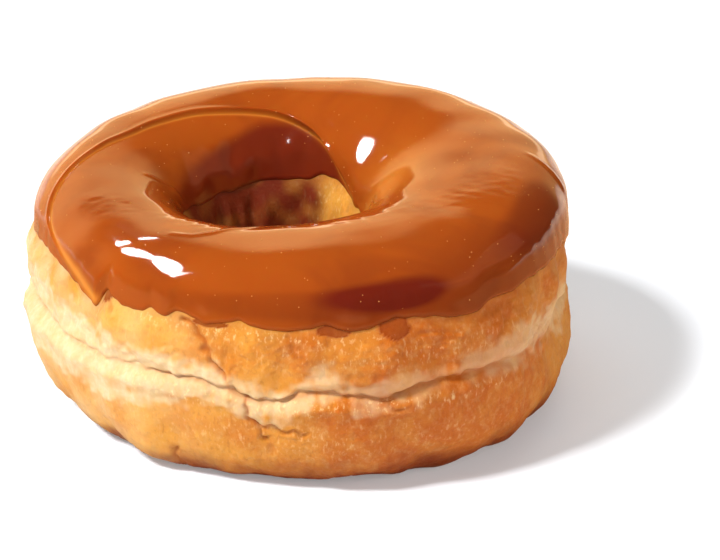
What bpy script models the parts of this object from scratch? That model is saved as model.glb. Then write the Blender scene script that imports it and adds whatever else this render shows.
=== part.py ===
"""Maple glazed ring doughnut: a risen ring of fried dough under a thick coat of maple glaze.

Metres, +Z up. The ring stands on its flat underside at z = 0. Azimuth 0 is +X and 90 degrees is
+Y, so the side that is seen best is at 270 degrees.

A cross-section of the ring is followed by a "way" that counts quarter turns: 0 is the widest
place of the outer wall, 1 the crest, 2 the wall of the hole, 3 the underside and 4 the outer
wall again. Both solids start as a torus whose two angles say where each point goes.
"""

from math import pi

import bpy
import numpy as np

MM = 0.001

# The ring, whose axis is set so that the middle of its box is on the Z axis
RING_AXIS = (-0.19 * MM, 0.32 * MM, 0.0)
RING_RADIUS = 44.2 * MM
RING_WAVES = (
    (0.6 * MM, 1, 0.0),
    (1.6 * MM, 2, 140.0),
    (0.4 * MM, 3, 28.0),
    (0.5 * MM, 4, 28.0),
    (0.45 * MM, 5, 28.0),
)
HOLE_RADIUS = 13.3 * MM
HOLE_CENTRE = (-3.6 * MM, 1.5 * MM)
HOLE_WAVES = ((0.5 * MM, 3, 100.0), (0.3 * MM, 5, 20.0))
CREST_HEIGHT = 36.8 * MM
CREST_WAVES = ((2.4 * MM, 1, 50.0),)
CREST_DIPS = ((0.6 * MM, 112.0, 28.0), (-0.9 * MM, 60.0, 20.0))
CREST_SHARE = 0.56
OUTER_WIDEST = 16.0 * MM
INNER_WIDEST = 19.0 * MM
SUNK_UNDERSIDE = 1.0 * MM
OUTER_TOP_POWER = 2.6
OUTER_TOP_ROUNDING = ((0.45, 185.0, 50.0), (-0.35, 12.0, 40.0))
INNER_TOP_POWER = 2.05
INNER_TOP_SQUARING = ((0.6, 262.0, 75.0),)
FOOT_POWER = 2.3

# The fold between the two fried halves
SEAM_HEIGHT = 18.6 * MM
SEAM_DIPS = (
    (1.4 * MM, 187.0, 10.0),
    (1.1 * MM, 213.0, 10.0),
    (0.6 * MM, 226.0, 8.0),
    (2.4 * MM, 264.5, 7.5),
    (1.9 * MM, 287.0, 8.0),
    (1.7 * MM, 332.0, 11.0),
    (0.9 * MM, 347.0, 8.0),
    (1.4 * MM, 25.0, 9.0),
    (1.7 * MM, 78.0, 7.0),
    (1.2 * MM, 131.0, 6.0),
)
WAIST_DEPTH = 0.7 * MM
WAIST_REACH = 4.0 * MM
FOLD_DEPTH = 1.1 * MM
FOLD_SHARE = (
    (0.0, 0.4),
    (30.0, 0.8),
    (60.0, 1.1),
    (95.0, 0.6),
    (130.0, 1.0),
    (165.0, 0.6),
    (190.0, 0.6),
    (210.0, 0.4),
    (235.0, 0.55),
    (252.0, 0.9),
    (262.0, 0.95),
    (276.0, 1.25),
    (290.0, 1.2),
    (305.0, 0.8),
    (320.0, 0.5),
    (335.0, 0.25),
)
FOLD_REACH = 0.8 * MM
LIP_REACH = 0.5 * MM
LIP = 0.3 * MM
LIP_RISE = 1.4 * MM
SHELF = 0.9 * MM
SHELF_REACH = 1.7 * MM
SHELF_DROP = 2.3 * MM
SHELF_FADES = ((0.9, 335.0, 38.0),)

# The lumps and creases of the fried crust, and how they die out towards its smooth places
UPPER_LUMPS = ((0.25 * MM, 7, 231.0), (0.25 * MM, 12, 262.0), (0.12 * MM, 23, 300.0))
LOWER_LUMPS = ((0.35 * MM, 5, 290.0), (0.3 * MM, 9, 235.0), (0.12 * MM, 21, 250.0))
HOLE_LUMPS = ((0.3 * MM, 7, 60.0), (0.25 * MM, 12, 75.0))
HOLE_LUMP_FADES = (0.02, 0.15, 0.2)
HOLE_WAYS = (1.2, 3.0)
SWELLS = (
    (1.7 * MM, 333.0, 24.0, 5.5 * MM, 7.0 * MM),
    (-1.0 * MM, 345.0, 18.0, 21.0 * MM, 5.0 * MM),
    (-1.3 * MM, 350.0, 16.0, 15.5 * MM, 4.5 * MM),
    (0.8 * MM, 192.0, 18.0, 13.0 * MM, 3.5 * MM),
    (-0.8 * MM, 186.0, 14.0, 18.0 * MM, 2.5 * MM),
    (0.5 * MM, 188.0, 14.0, 24.0 * MM, 3.5 * MM),
    (0.6 * MM, 275.0, 40.0, 3.0 * MM, 4.0 * MM),
    (0.9 * MM, 238.0, 5.0, 2.5 * MM, 3.0 * MM),
)
CREASE_REACH = 1.0 * MM
CREASES = (
    (0.9 * MM, ((246.5, 29.0), (251.0, 25.6), (253.0, 22.2), (256.0, 19.6))),
    (0.5 * MM, ((269.5, 27.0), (270.8, 23.6))),
    (0.9 * MM, ((261.0, 17.0), (261.0, 13.3), (264.5, 9.6), (266.0, 6.0))),
    (0.6 * MM, ((262.5, 12.2), (272.0, 11.0))),
    (0.7 * MM, ((289.3, 15.2), (290.8, 14.4))),
    (0.6 * MM, ((243.0, 5.0), (243.5, 1.0))),
    (0.5 * MM, ((316.0, 26.0), (313.0, 22.0))),
    (0.8 * MM, ((24.0, 27.5), (27.0, 22.0), (25.0, 18.0))),
    (0.8 * MM, ((81.0, 17.5), (78.0, 12.0), (80.0, 7.5))),
    (0.7 * MM, ((128.0, 27.0), (131.0, 20.0))),
    (0.7 * MM, ((170.0, 15.0), (173.0, 9.0))),
)
LUMP_FADE = 2.2 * MM
FOOT_LUMP_FADE = 4.0 * MM
FOOT_FADE = 0.12
HEM_MARGIN = 0.01
HEM_FADE_OF_HOLLOWS = 0.06
HEM_FADE_OF_LUMPS = 0.15

# The glaze
GAP = 0.3 * MM
GLAZE_THICKNESS = 1.45 * MM
HOLE_THINNING = 0.4
HOLE_THINNING_FROM = 1.15
HOLE_THINNING_REACH = 0.4
RIM_EDGE = 0.35 * MM
RIM_LIP = 0.35
RIM_ROUNDING = 0.035
RIM_SWELL = 0.2
OUTER_RIM = (
    (3.0, 28.2),
    (12.0, 28.4),
    (20.0, 27.0),
    (29.0, 28.3),
    (38.0, 27.5),
    (48.0, 28.6),
    (61.0, 27.1),
    (70.0, 28.5),
    (78.0, 27.8),
    (87.0, 28.5),
    (96.0, 26.5),
    (106.0, 28.3),
    (118.0, 27.4),
    (129.0, 28.5),
    (140.0, 27.0),
    (150.0, 28.2),
    (158.0, 27.6),
    (166.0, 28.0),
    (175.0, 26.8),
    (182.5, 26.8),
    (190.0, 27.4),
    (198.0, 27.7),
    (206.5, 27.4),
    (212.0, 26.9),
    (217.0, 26.3),
    (220.5, 25.6),
    (222.3, 25.1),
    (223.6, 26.6),
    (224.6, 28.2),
    (227.5, 27.4),
    (233.0, 26.9),
    (236.0, 27.2),
    (238.2, 28.0),
    (241.5, 27.3),
    (244.7, 28.4),
    (249.5, 27.8),
    (252.5, 27.5),
    (258.5, 28.4),
    (262.5, 27.8),
    (268.5, 27.4),
    (272.5, 27.7),
    (276.5, 28.4),
    (280.0, 27.8),
    (283.0, 27.4),
    (286.5, 28.0),
    (291.0, 28.8),
    (297.0, 28.6),
    (305.0, 27.7),
    (308.5, 27.6),
    (312.0, 28.6),
    (319.0, 28.5),
    (324.5, 28.9),
    (333.0, 28.5),
    (345.0, 28.3),
    (354.0, 27.3),
)
INNER_RIM = (
    (0.0, 27.2),
    (20.0, 26.9),
    (36.0, 27.4),
    (50.0, 29.0),
    (60.0, 29.8),
    (69.0, 29.9),
    (78.0, 29.4),
    (86.0, 28.6),
    (95.0, 28.1),
    (103.0, 28.1),
    (117.0, 27.7),
    (136.0, 27.2),
    (148.0, 26.8),
    (157.0, 27.3),
    (180.0, 27.9),
    (215.0, 28.3),
    (250.0, 27.6),
    (285.0, 28.1),
    (325.0, 27.7),
)

# The ledge where the glaze folded over itself as the ring was turned out of it
LEDGE_PATH = (
    (225.0, 0.30),
    (214.0, 0.41),
    (202.0, 0.50),
    (191.0, 0.59),
    (183.0, 0.71),
    (172.0, 0.91),
    (155.0, 1.08),
    (128.0, 1.17),
    (99.0, 1.30),
    (76.0, 1.46),
    (60.0, 1.61),
    (36.0, 1.72),
    (12.0, 1.72),
)
LEDGE_SMOOTHING = 4.0
LEDGE_SAMPLES = 7
LEDGE_HEIGHT = 1.1 * MM
LEDGE_SURGES = ((0.5, 80.0, 42.0), (-0.6, 190.0, 40.0))
LEDGE_FACE = 0.05
LEDGE_BACK = 0.42
LEDGE_PRESENCE = ((0.0, 0.0), (46.0, 1.0), (222.5, 1.0), (228.5, 0.0), (359.9, 0.0))

# How finely each solid is divided
TUBE_SHARE = 3
FRONT_AZIMUTH = 262.0
FRONT_DENSITY = 0.45
COLUMNS = 110
COVERED_ROWS = 10
HOLE_ROWS = 6
UNDERSIDE_ROWS = 4
LOWER_ROWS = 7
UPPER_ROWS = 7
SEAM_CROWDING = 1.7
BAND_ROWS = 8
BASIN_ROWS = 9
LINING_ROWS = 12
LINING_INSET = 0.015
LEDGE_MARGIN = 0.07
WAY_STEP = 0.002
AZIMUTH_STEP = 0.002


def waves(azimuth, harmonics):
    """Cosine waves round the ring, each given as (size, waves in a turn, azimuth of a crest)."""
    return sum(
        size * np.cos(count * (azimuth - np.radians(crest)))
        for size, count, crest in harmonics
    )


def dips(azimuth, places):
    """Bell-shaped dips, each given as (size, azimuth, reach in degrees)."""
    return sum(depth * bell(turned(azimuth, place) / reach) for depth, place, reach in places)


def turned(azimuth, place):
    """Degrees from a place to an azimuth, the shorter way round."""
    return (np.degrees(azimuth) - place + 180.0) % 360.0 - 180.0


def bell(value):
    """1 at 0, falling away like a bell on both sides."""
    return np.exp(-(value**2))


def along(azimuth, stops):
    """A value given as (azimuth, value) at a few places, in straight runs between them."""
    places, values = zip(*stops)
    return np.interp(np.degrees(azimuth) % 360.0, places, values, period=360.0)


def curving(azimuth, stops):
    """A value given as (azimuth, value) at a few places, in smooth curves between them."""
    places, values = np.array(stops).T
    before, after = np.roll(places, 1), np.roll(places, -1)
    before[0] -= 360.0
    after[-1] += 360.0
    slopes = (np.roll(values, -1) - np.roll(values, 1)) / (after - before)
    degrees = (np.degrees(azimuth) - places[0]) % 360.0 + places[0]
    start = np.clip(np.searchsorted(places, degrees, side="right") - 1, 0, len(places) - 1)
    end = (start + 1) % len(places)
    run = after[start] - places[start]
    share = (degrees - places[start]) / run
    rest = 1.0 - share
    level = values[start] * (1.0 + 2.0 * share) * rest**2
    level = level + values[end] * (1.0 + 2.0 * rest) * share**2
    return level + run * share * rest * (slopes[start] * rest - slopes[end] * share)


def ease(value):
    """0 below 0, 1 above 1 and smooth between."""
    share = np.clip(value, 0.0, 1.0)
    return share * share * (3.0 - 2.0 * share)


def outer_radius(azimuth):
    return RING_RADIUS + waves(azimuth, RING_WAVES)


def hole_radius(azimuth):
    """Distance from the ring's axis to the wall of the hole, which lies off centre."""
    towards = HOLE_CENTRE[0] * np.cos(azimuth) + HOLE_CENTRE[1] * np.sin(azimuth)
    across = HOLE_CENTRE[1] * np.cos(azimuth) - HOLE_CENTRE[0] * np.sin(azimuth)
    radius = HOLE_RADIUS + waves(azimuth, HOLE_WAVES)
    return towards + np.sqrt(radius**2 - across**2)


def crest_height(azimuth):
    return CREST_HEIGHT + waves(azimuth, CREST_WAVES) - dips(azimuth, CREST_DIPS)


def seam_height(azimuth):
    return SEAM_HEIGHT - dips(azimuth, SEAM_DIPS)


def outer_rim_height(azimuth):
    return curving(azimuth, OUTER_RIM) * MM


def inner_rim_height(azimuth):
    return curving(azimuth, INNER_RIM) * MM


def outer_power(azimuth):
    """How square the ring's outer shoulder is."""
    return OUTER_TOP_POWER - dips(azimuth, OUTER_TOP_ROUNDING)


def inner_power(azimuth):
    """How square the shoulder above the hole is."""
    return INNER_TOP_POWER + dips(azimuth, INNER_TOP_SQUARING)


def section(azimuth, way):
    """Radius and height of the plain section, four quarters of superellipses."""
    angle = np.mod(way, 4.0) * pi / 2
    cosine, sine = np.cos(angle), np.sin(angle)
    outside, above = cosine >= 0, sine >= 0
    outer, hole = outer_radius(azimuth), hole_radius(azimuth)
    crest_radius = hole + CREST_SHARE * (outer - hole)
    width = np.where(outside, outer - crest_radius, crest_radius - hole)
    widest = np.where(outside, OUTER_WIDEST, INNER_WIDEST)
    reach = np.where(above, crest_height(azimuth) - widest, widest + SUNK_UNDERSIDE)
    top_power = np.where(outside, outer_power(azimuth), inner_power(azimuth))
    power = np.where(above, top_power, FOOT_POWER)
    scale = (np.abs(cosine) ** power + np.abs(sine) ** power) ** (-1 / power)
    return crest_radius + width * cosine * scale, widest + reach * sine * scale


def quarter_at(share, power):
    """Share of a quarter turn at which a superellipse is this share of its reach high."""
    share = np.clip(share, 0.0, 1.0)
    return np.arctan2(share, (1.0 - share**power) ** (1 / power)) / (pi / 2)


def outer_way(azimuth, height):
    """The way at which the outer wall has this height."""
    above = height >= OUTER_WIDEST
    up = quarter_at(
        (height - OUTER_WIDEST) / (crest_height(azimuth) - OUTER_WIDEST), outer_power(azimuth)
    )
    down = quarter_at((OUTER_WIDEST - height) / (OUTER_WIDEST + SUNK_UNDERSIDE), FOOT_POWER)
    return np.where(above, 4.0 + up, 4.0 - down)


def inner_way(azimuth, height):
    """The way at which the upper wall of the hole has this height."""
    share = (height - INNER_WIDEST) / (crest_height(azimuth) - INNER_WIDEST)
    return 2.0 - quarter_at(share, inner_power(azimuth))


def flat_ways():
    """The ways at which the flat underside starts and ends."""
    inner = quarter_at(INNER_WIDEST / (INNER_WIDEST + SUNK_UNDERSIDE), FOOT_POWER)
    outer = quarter_at(OUTER_WIDEST / (OUTER_WIDEST + SUNK_UNDERSIDE), FOOT_POWER)
    return 2.0 + inner, 4.0 - outer


def plain_point(azimuth, way):
    """A point of the ring before its creases, on its flat underside where that cuts it."""
    radius, height = section(azimuth, way)
    height = np.maximum(height, 0.0)
    return np.stack([radius * np.cos(azimuth), radius * np.sin(azimuth), height], axis=-1)


def outward(azimuth, way):
    """Unit normals of the plain ring."""
    around = plain_point(azimuth + AZIMUTH_STEP, way) - plain_point(azimuth - AZIMUTH_STEP, way)
    up = plain_point(azimuth, way + WAY_STEP) - plain_point(azimuth, way - WAY_STEP)
    normal = np.cross(around, up)
    return normal / np.linalg.norm(normal, axis=-1, keepdims=True)


def crease_depth(azimuth, height):
    """How deep the short creases of the outer wall are here."""
    depth = np.zeros_like(azimuth)
    for size, path in CREASES:
        nearest = np.full_like(azimuth, np.inf)
        for (first, low), (second, high) in zip(path, path[1:]):
            across = np.radians(turned(azimuth, first)) * RING_RADIUS
            up = height - low * MM
            run = np.radians(second - first) * RING_RADIUS
            rise = (high - low) * MM
            share = np.clip((across * run + up * rise) / (run**2 + rise**2), 0.0, 1.0)
            nearest = np.minimum(nearest, np.hypot(across - share * run, up - share * rise))
        depth += size * bell(nearest / CREASE_REACH)
    return depth


def outer_relief(azimuth, height):
    """Fold, waist, shelf, swells, lumps and creases of the outer wall."""
    above = height - seam_height(azimuth)
    fold = FOLD_DEPTH * along(azimuth, FOLD_SHARE)
    upper = waves(azimuth, UPPER_LUMPS) * ease((above - FOLD_REACH) / LUMP_FADE)
    lower = waves(azimuth, LOWER_LUMPS) * ease((-above - FOLD_REACH) / LUMP_FADE)
    relief = upper + lower * ease(height / FOOT_LUMP_FADE)
    relief -= WAIST_DEPTH * bell(above / WAIST_REACH)
    relief -= fold * bell(above / np.where(above > 0, LIP_REACH, FOLD_REACH))
    relief += LIP * bell((above - LIP_RISE) / LIP_RISE)
    shelf = SHELF * (1.0 - dips(azimuth, SHELF_FADES))
    relief += shelf * bell((above + SHELF_DROP) / SHELF_REACH)
    for size, place, turn, level, rise in SWELLS:
        relief += size * bell(turned(azimuth, place) / turn) * bell((height - level) / rise)
    return relief - crease_depth(azimuth, height)


def dough_point(azimuth, way):
    """A point of the crust. Under the glaze it is plain."""
    way = np.mod(way, 4.0)
    flat_from, flat_to = flat_ways()
    from_wall = np.where(way > HOLE_WAYS[1], way - 4.0, way)
    height = section(azimuth, way)[1]
    rim = outer_way(azimuth, outer_rim_height(azimuth)) - 4.0
    outer = outer_relief(azimuth, height) * ease((from_wall + 4.0 - flat_to) / FOOT_FADE)
    hem_fade = np.where(outer > 0, HEM_FADE_OF_LUMPS, HEM_FADE_OF_HOLLOWS)
    bare = ease((rim - HEM_MARGIN - from_wall) / hem_fade)
    inner_rim = inner_way(azimuth, inner_rim_height(azimuth))
    margin, rim_fade, foot_fade = HOLE_LUMP_FADES
    hole = waves(azimuth, HOLE_LUMPS) * ease((way - inner_rim - margin) / rim_fade)
    hole = hole * ease((flat_from - way) / foot_fade)
    in_hole = (way > HOLE_WAYS[0]) & (way < HOLE_WAYS[1])
    relief = np.where(in_hole, hole, outer * bare)
    point = plain_point(azimuth, way) + outward(azimuth, way) * relief[..., None]
    point[..., 2] = np.maximum(point[..., 2], 0.0)
    return point


def ledge_way(azimuth):
    """The way at which the ledge of the glaze crosses this azimuth."""
    places = [place for place, _ in reversed(LEDGE_PATH)]
    ways = [way for _, way in reversed(LEDGE_PATH)]
    degrees = np.degrees(azimuth) % 360.0
    shifts = np.linspace(-LEDGE_SMOOTHING, LEDGE_SMOOTHING, LEDGE_SAMPLES)
    crossings = (np.interp(degrees + shift, places, ways, period=360.0) for shift in shifts)
    return sum(crossings) / LEDGE_SAMPLES


def ledge(azimuth, way):
    """Extra thickness of the glaze outside its ledge, gone a little way behind it."""
    outside = ledge_way(azimuth) - way
    rise = ease(outside / LEDGE_FACE + 0.5)
    back = bell(np.maximum(outside, 0) / LEDGE_BACK)
    height = LEDGE_HEIGHT * (1.0 + dips(azimuth, LEDGE_SURGES))
    return height * ease(along(azimuth, LEDGE_PRESENCE)) * rise * back


def glaze_thickness(azimuth, way):
    """Thickness of the glaze, which swells from a thin lip at each of its two rims."""
    first = outer_way(azimuth, outer_rim_height(azimuth)) - 4.0
    last = inner_way(azimuth, inner_rim_height(azimuth))
    inside = np.minimum(way - first, last - way)
    lip = np.sqrt(1.0 - (1.0 - np.clip(inside / RIM_ROUNDING, 0.0, 1.0)) ** 2)
    swell = RIM_LIP * lip + (1.0 - RIM_LIP) * ease(inside / RIM_SWELL)
    thinning = HOLE_THINNING * ease((way - HOLE_THINNING_FROM) / HOLE_THINNING_REACH)
    full = GLAZE_THICKNESS * (1.0 - thinning)
    return RIM_EDGE + (full - RIM_EDGE + ledge(azimuth, way)) * swell


def glaze_point(azimuth, way, share):
    """A point of the glaze: share 0 on its underside, 1 on its face."""
    offset = GAP + share * glaze_thickness(azimuth, way)
    return plain_point(azimuth, way) + outward(azimuth, way) * offset[..., None]


def columns_of(count):
    """Azimuths of the columns, closer together on the side that is seen best."""
    turn = np.linspace(0.0, 2 * pi, count, endpoint=False)
    return turn - FRONT_DENSITY * np.sin(turn - np.radians(FRONT_AZIMUTH))


def rows_between(first, last, count, crowding=1.0):
    """Ways from first up to but not including last, crowded towards first above 1."""
    shares = (np.arange(count) / count) ** crowding
    return first[:, None] + (last - first)[:, None] * shares


def dough_rows(azimuth):
    """Ways of the dough's rows: hem of the glaze, round the hole, underside, seam, hem."""
    rim = outer_way(azimuth, outer_rim_height(azimuth))
    seam = outer_way(azimuth, seam_height(azimuth))
    inner_rim = inner_way(azimuth, inner_rim_height(azimuth))
    flat_from, flat_to = (np.full_like(azimuth, way) for way in flat_ways())
    upper = rows_between(seam, rim, UPPER_ROWS, SEAM_CROWDING)
    shares = 1.0 - (1.0 - np.arange(LOWER_ROWS) / LOWER_ROWS) ** SEAM_CROWDING
    return np.concatenate(
        [
            rows_between(rim - 4.0, inner_rim, COVERED_ROWS),
            rows_between(inner_rim, flat_from, HOLE_ROWS),
            rows_between(flat_from, flat_to, UNDERSIDE_ROWS),
            flat_to[:, None] + (seam - flat_to)[:, None] * shares,
            upper,
        ],
        axis=1,
    )


def glaze_rows(azimuth):
    """Ways of the rows of the glaze's face, one of which runs along its ledge."""
    first = outer_way(azimuth, outer_rim_height(azimuth)) - 4.0
    last = inner_way(azimuth, inner_rim_height(azimuth))
    middle = np.clip(ledge_way(azimuth), first + LEDGE_MARGIN, last - LEDGE_MARGIN)
    band = rows_between(first, middle, BAND_ROWS)
    basin = rows_between(middle, last, BASIN_ROWS - 1)
    return np.concatenate([band, basin, last[:, None]], axis=1)


def linear(hex_colour):
    """Linear RGBA of a hexadecimal sRGB colour."""
    channels = [int(hex_colour[place : place + 2], 16) / 255 for place in (1, 3, 5)]
    return [
        value / 12.92 if value <= 0.04045 else ((value + 0.055) / 1.055) ** 2.4
        for value in channels
    ] + [1.0]


def finish(name, hex_colour, roughness, coat=0.0):
    """A Principled material of one colour."""
    material = bpy.data.materials.new(name)
    material.use_nodes = True
    shader = material.node_tree.nodes["Principled BSDF"]
    shader.inputs["Base Color"].default_value = linear(hex_colour)
    shader.inputs["Roughness"].default_value = roughness
    shader.inputs["Metallic"].default_value = 0.0
    shader.inputs["Coat Weight"].default_value = coat
    return material


def torus(name, points, material, group, parent):
    """A torus of as many columns and rows as the points, moved onto them."""
    columns, rows = points.shape[:2]
    bpy.ops.mesh.primitive_torus_add(
        major_segments=columns,
        minor_segments=rows,
        major_radius=RING_RADIUS,
        minor_radius=RING_RADIUS / TUBE_SHARE,
    )
    made = bpy.context.object
    made.name = name
    made.data.name = name
    made.data.vertices.foreach_set("co", points.reshape(-1).astype(np.float32))
    made.data.shade_smooth()
    made.data.update()
    made.data.materials.append(material)
    for held in list(made.users_collection):
        held.objects.unlink(made)
    group.objects.link(made)
    made.parent = parent
    return made


def dough_points():
    """The crust's points, column by column."""
    azimuth = columns_of(COLUMNS)
    ways = dough_rows(azimuth)
    return dough_point(np.repeat(azimuth[:, None], ways.shape[1], axis=1), ways)


def glaze_points():
    """The glaze's points, column by column: its face from hem to hole, then its underside back."""
    azimuth = columns_of(COLUMNS)
    face = glaze_rows(azimuth)
    shares = np.linspace(1.0 - LINING_INSET, LINING_INSET, LINING_ROWS)
    lining = face[:, :1] + (face[:, -1:] - face[:, :1]) * shares
    upper = glaze_point(np.repeat(azimuth[:, None], face.shape[1], axis=1), face, 1.0)
    lower = glaze_point(np.repeat(azimuth[:, None], LINING_ROWS, axis=1), lining, 0.0)
    return np.concatenate([upper, lower], axis=1)


def clear_scene():
    for found in list(bpy.data.objects):
        bpy.data.objects.remove(found, do_unlink=True)


def main():
    clear_scene()
    crust_points, icing_points = dough_points(), glaze_points()
    group = bpy.data.collections.new("maple_glazed_doughnut")
    bpy.context.scene.collection.children.link(group)
    centre = bpy.data.objects.new("doughnut", None)
    centre.empty_display_size = RING_RADIUS
    centre.location = RING_AXIS
    group.objects.link(centre)
    crust = finish("fried_crust", "#DB9242", 0.62)
    icing = finish("maple_glaze", "#B4551D", 0.12, coat=0.6)
    torus("dough_ring", crust_points, crust, group, centre)
    torus("maple_glaze", icing_points, icing, group, centre)


if __name__ == "__main__":
    main()
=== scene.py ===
"""Maple glazed ring doughnut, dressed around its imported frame.

A risen ring of dough was fried on both sides, so that a pale seam runs round its waist, and was
then dipped upside down in warm maple glaze and turned out of it with a twist, which left the
glaze folded over itself in a ledge and drawn down the side in a few short drips.

A cross-section of the ring is followed by a "way" that counts quarter turns: 0 is the widest
place of the outer wall, 1 the crest, 2 the wall of the hole, 3 the underside and 4 the outer
wall again. Azimuth 0 is +X and 90 degrees is +Y, so the camera looks from 270 degrees.
"""

from __future__ import annotations

import logging
from dataclasses import dataclass
from enum import Enum
from math import cos, pi, radians, sin
from typing import Any

import bpy
import numpy as np
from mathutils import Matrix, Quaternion, Vector

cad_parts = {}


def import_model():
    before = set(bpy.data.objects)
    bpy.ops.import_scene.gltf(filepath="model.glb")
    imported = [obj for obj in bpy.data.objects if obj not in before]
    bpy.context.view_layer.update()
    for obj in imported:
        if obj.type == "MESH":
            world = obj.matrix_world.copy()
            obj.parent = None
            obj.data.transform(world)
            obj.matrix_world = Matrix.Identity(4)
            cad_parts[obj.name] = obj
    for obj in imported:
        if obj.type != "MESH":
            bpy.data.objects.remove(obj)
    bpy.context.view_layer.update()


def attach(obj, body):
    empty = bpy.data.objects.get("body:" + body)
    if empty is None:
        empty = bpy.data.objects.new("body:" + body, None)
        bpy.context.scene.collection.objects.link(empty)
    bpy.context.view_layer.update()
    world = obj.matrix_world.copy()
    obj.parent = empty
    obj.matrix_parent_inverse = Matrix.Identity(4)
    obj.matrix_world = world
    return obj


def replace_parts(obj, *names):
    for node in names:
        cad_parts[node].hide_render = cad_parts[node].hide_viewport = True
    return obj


LOG = logging.getLogger("doughnut")
MM = 0.001

Array = np.ndarray
# Each wave's size, its count in a turn and the azimuth of a crest
Waves = tuple[tuple[float, int, float], ...]
# Each dip's depth, its azimuth and its reach in degrees
Dips = tuple[tuple[float, float, float], ...]
# Azimuths in degrees and the value at each
Stops = tuple[tuple[float, float], ...]
# Noise levels at which a spot starts and is full, and its largest share
Spread = tuple[float, float, float]
# How much each axis of a pattern is squeezed
Stretch = tuple[float, float, float]

# How far a random wave may be shorter or longer than its field's wavelength
WAVE_SPREAD = (0.75, 1.3)


class Slot(Enum):
    """The record's material slots."""

    CRUST = "fried_crust"
    GLAZE = "maple_glaze"


class Mask(Enum):
    """Attributes that the meshes carry for their materials."""

    # The pale band at the seam, and painted light on the side facing the main lamp
    PALE = "pale"
    TOAST = "toast"
    # Painted shade in the seam's fold and in the creases
    CREASE = "crease"
    # Painted shade on the dough inside the hole
    HOLE = "hole"
    # Painted shade: deeper, more orange browning on the side away from the main lamp
    WARM = "warm"
    STAIN = "stain"
    # Where glints are painted on the crust as pale flecks
    GLINT = "glint"
    # Painted shade and painted dark reflections on the glaze
    DEPTH = "depth"
    # Painted glow, as if light shone through the glaze
    GLOW = "glow"
    SPECKS = "specks"


def linear(hex_colour: str) -> tuple[float, float, float, float]:
    """Turns an sRGB hex colour to linear.

    Args:
        hex_colour: Six hexadecimal digits after a hash sign.

    Returns:
        Linear red, green and blue, and an alpha of 1.
    """
    channels = [int(hex_colour[place : place + 2], 16) / 255 for place in (1, 3, 5)]
    red, green, blue = (
        value / 12.92 if value <= 0.04045 else ((value + 0.055) / 1.055) ** 2.4
        for value in channels
    )
    return red, green, blue, 1.0


def ease(value: Array) -> Array:
    """0 below 0, 1 above 1 and smooth between."""
    share = np.clip(value, 0.0, 1.0)
    return share * share * (3.0 - 2.0 * share)


def bell(value: Array) -> Array:
    """1 at 0, falling away like a bell on both sides."""
    return np.exp(-(value**2))


def turned(azimuth: Array, place: float) -> Array:
    """Degrees from a place to an azimuth, the shorter way round."""
    return (np.degrees(azimuth) - place + 180.0) % 360.0 - 180.0


def waves(azimuth: Array, harmonics: Waves) -> Array:
    """Adds up cosine waves round the ring.

    Args:
        azimuth: Angles in radians.
        harmonics: Each wave's size, its count in a turn and the azimuth of a crest.

    Returns:
        The sum of the waves at each angle.
    """
    return sum(
        size * np.cos(count * (azimuth - np.radians(crest)))
        for size, count, crest in harmonics
    )


def dips(azimuth: Array, places: Dips) -> Array:
    """Adds up bell-shaped dips round the ring.

    Args:
        azimuth: Angles in radians.
        places: Each dip's depth, its azimuth and its reach in degrees.

    Returns:
        The depth at each angle.
    """
    return sum(depth * bell(turned(azimuth, place) / reach) for depth, place, reach in places)


def along(azimuth: Array, stops: Stops) -> Array:
    """Follows a value that is given at a few places round the ring, in straight runs.

    Args:
        azimuth: Angles in radians.
        stops: Azimuths in degrees and the value at each.

    Returns:
        The value at each angle.
    """
    places, values = zip(*stops)
    return np.interp(np.degrees(azimuth) % 360.0, places, values, period=360.0)


def curving(azimuth: Array, stops: Stops) -> Array:
    """Follows a value that is given at a few places round the ring, in smooth curves.

    Args:
        azimuth: Angles in radians.
        stops: Azimuths in degrees, in rising order, and the value at each.

    Returns:
        The value at each angle.
    """
    places, values = np.array(stops).T
    before, after = np.roll(places, 1), np.roll(places, -1)
    before[0] -= 360.0
    after[-1] += 360.0
    slopes = (np.roll(values, -1) - np.roll(values, 1)) / (after - before)
    degrees = (np.degrees(azimuth) - places[0]) % 360.0 + places[0]
    start = np.clip(np.searchsorted(places, degrees, side="right") - 1, 0, len(places) - 1)
    end = (start + 1) % len(places)
    run = after[start] - places[start]
    share = (degrees - places[start]) / run
    rest = 1.0 - share
    level = values[start] * (1.0 + 2.0 * share) * rest**2
    level = level + values[end] * (3.0 - 2.0 * share) * share**2
    return level + run * share * rest * (slopes[start] * rest - slopes[end] * share)


def ripple(points: Array, wavelength: float, seed: int, count: int = 22) -> Array:
    """A smooth random field with about this wavelength, the same each run.

    Args:
        points: Places in metres, with three numbers in the last axis.
        wavelength: Distance between neighbouring swells.
        seed: Picks one of the possible fields.
        count: How many plane waves are added up.

    Returns:
        Values of about unit spread, one for each place.
    """
    random = np.random.default_rng(seed)
    field = np.zeros(points.shape[:-1])
    for _ in range(count):
        direction = random.normal(size=3)
        longer = random.uniform(*WAVE_SPREAD)
        direction *= 2 * pi / (wavelength * np.linalg.norm(direction) * longer)
        field += np.cos(points @ direction + random.uniform(0, 2 * pi))
    return field * (2 / count) ** 0.5


@dataclass(frozen=True)
class Ripple:
    """A random relief: its size, the distance between its swells, its seed and its stretch."""

    size: float
    wavelength: float
    seed: int
    stretch: Stretch = (1.0, 1.0, 1.0)

    def at(self, points: Array) -> Array:
        """The relief at each point."""
        return self.size * ripple(points * np.array(self.stretch), self.wavelength, self.seed)


def added(ripples: tuple[Ripple, ...], points: Array) -> Array:
    """The sum of several random reliefs at each point."""
    return sum(relief.at(points) for relief in ripples)


def steps(count: int) -> Array:
    """Shares in equal steps from 0 up to but not including 1."""
    return np.arange(count) / count


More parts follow.
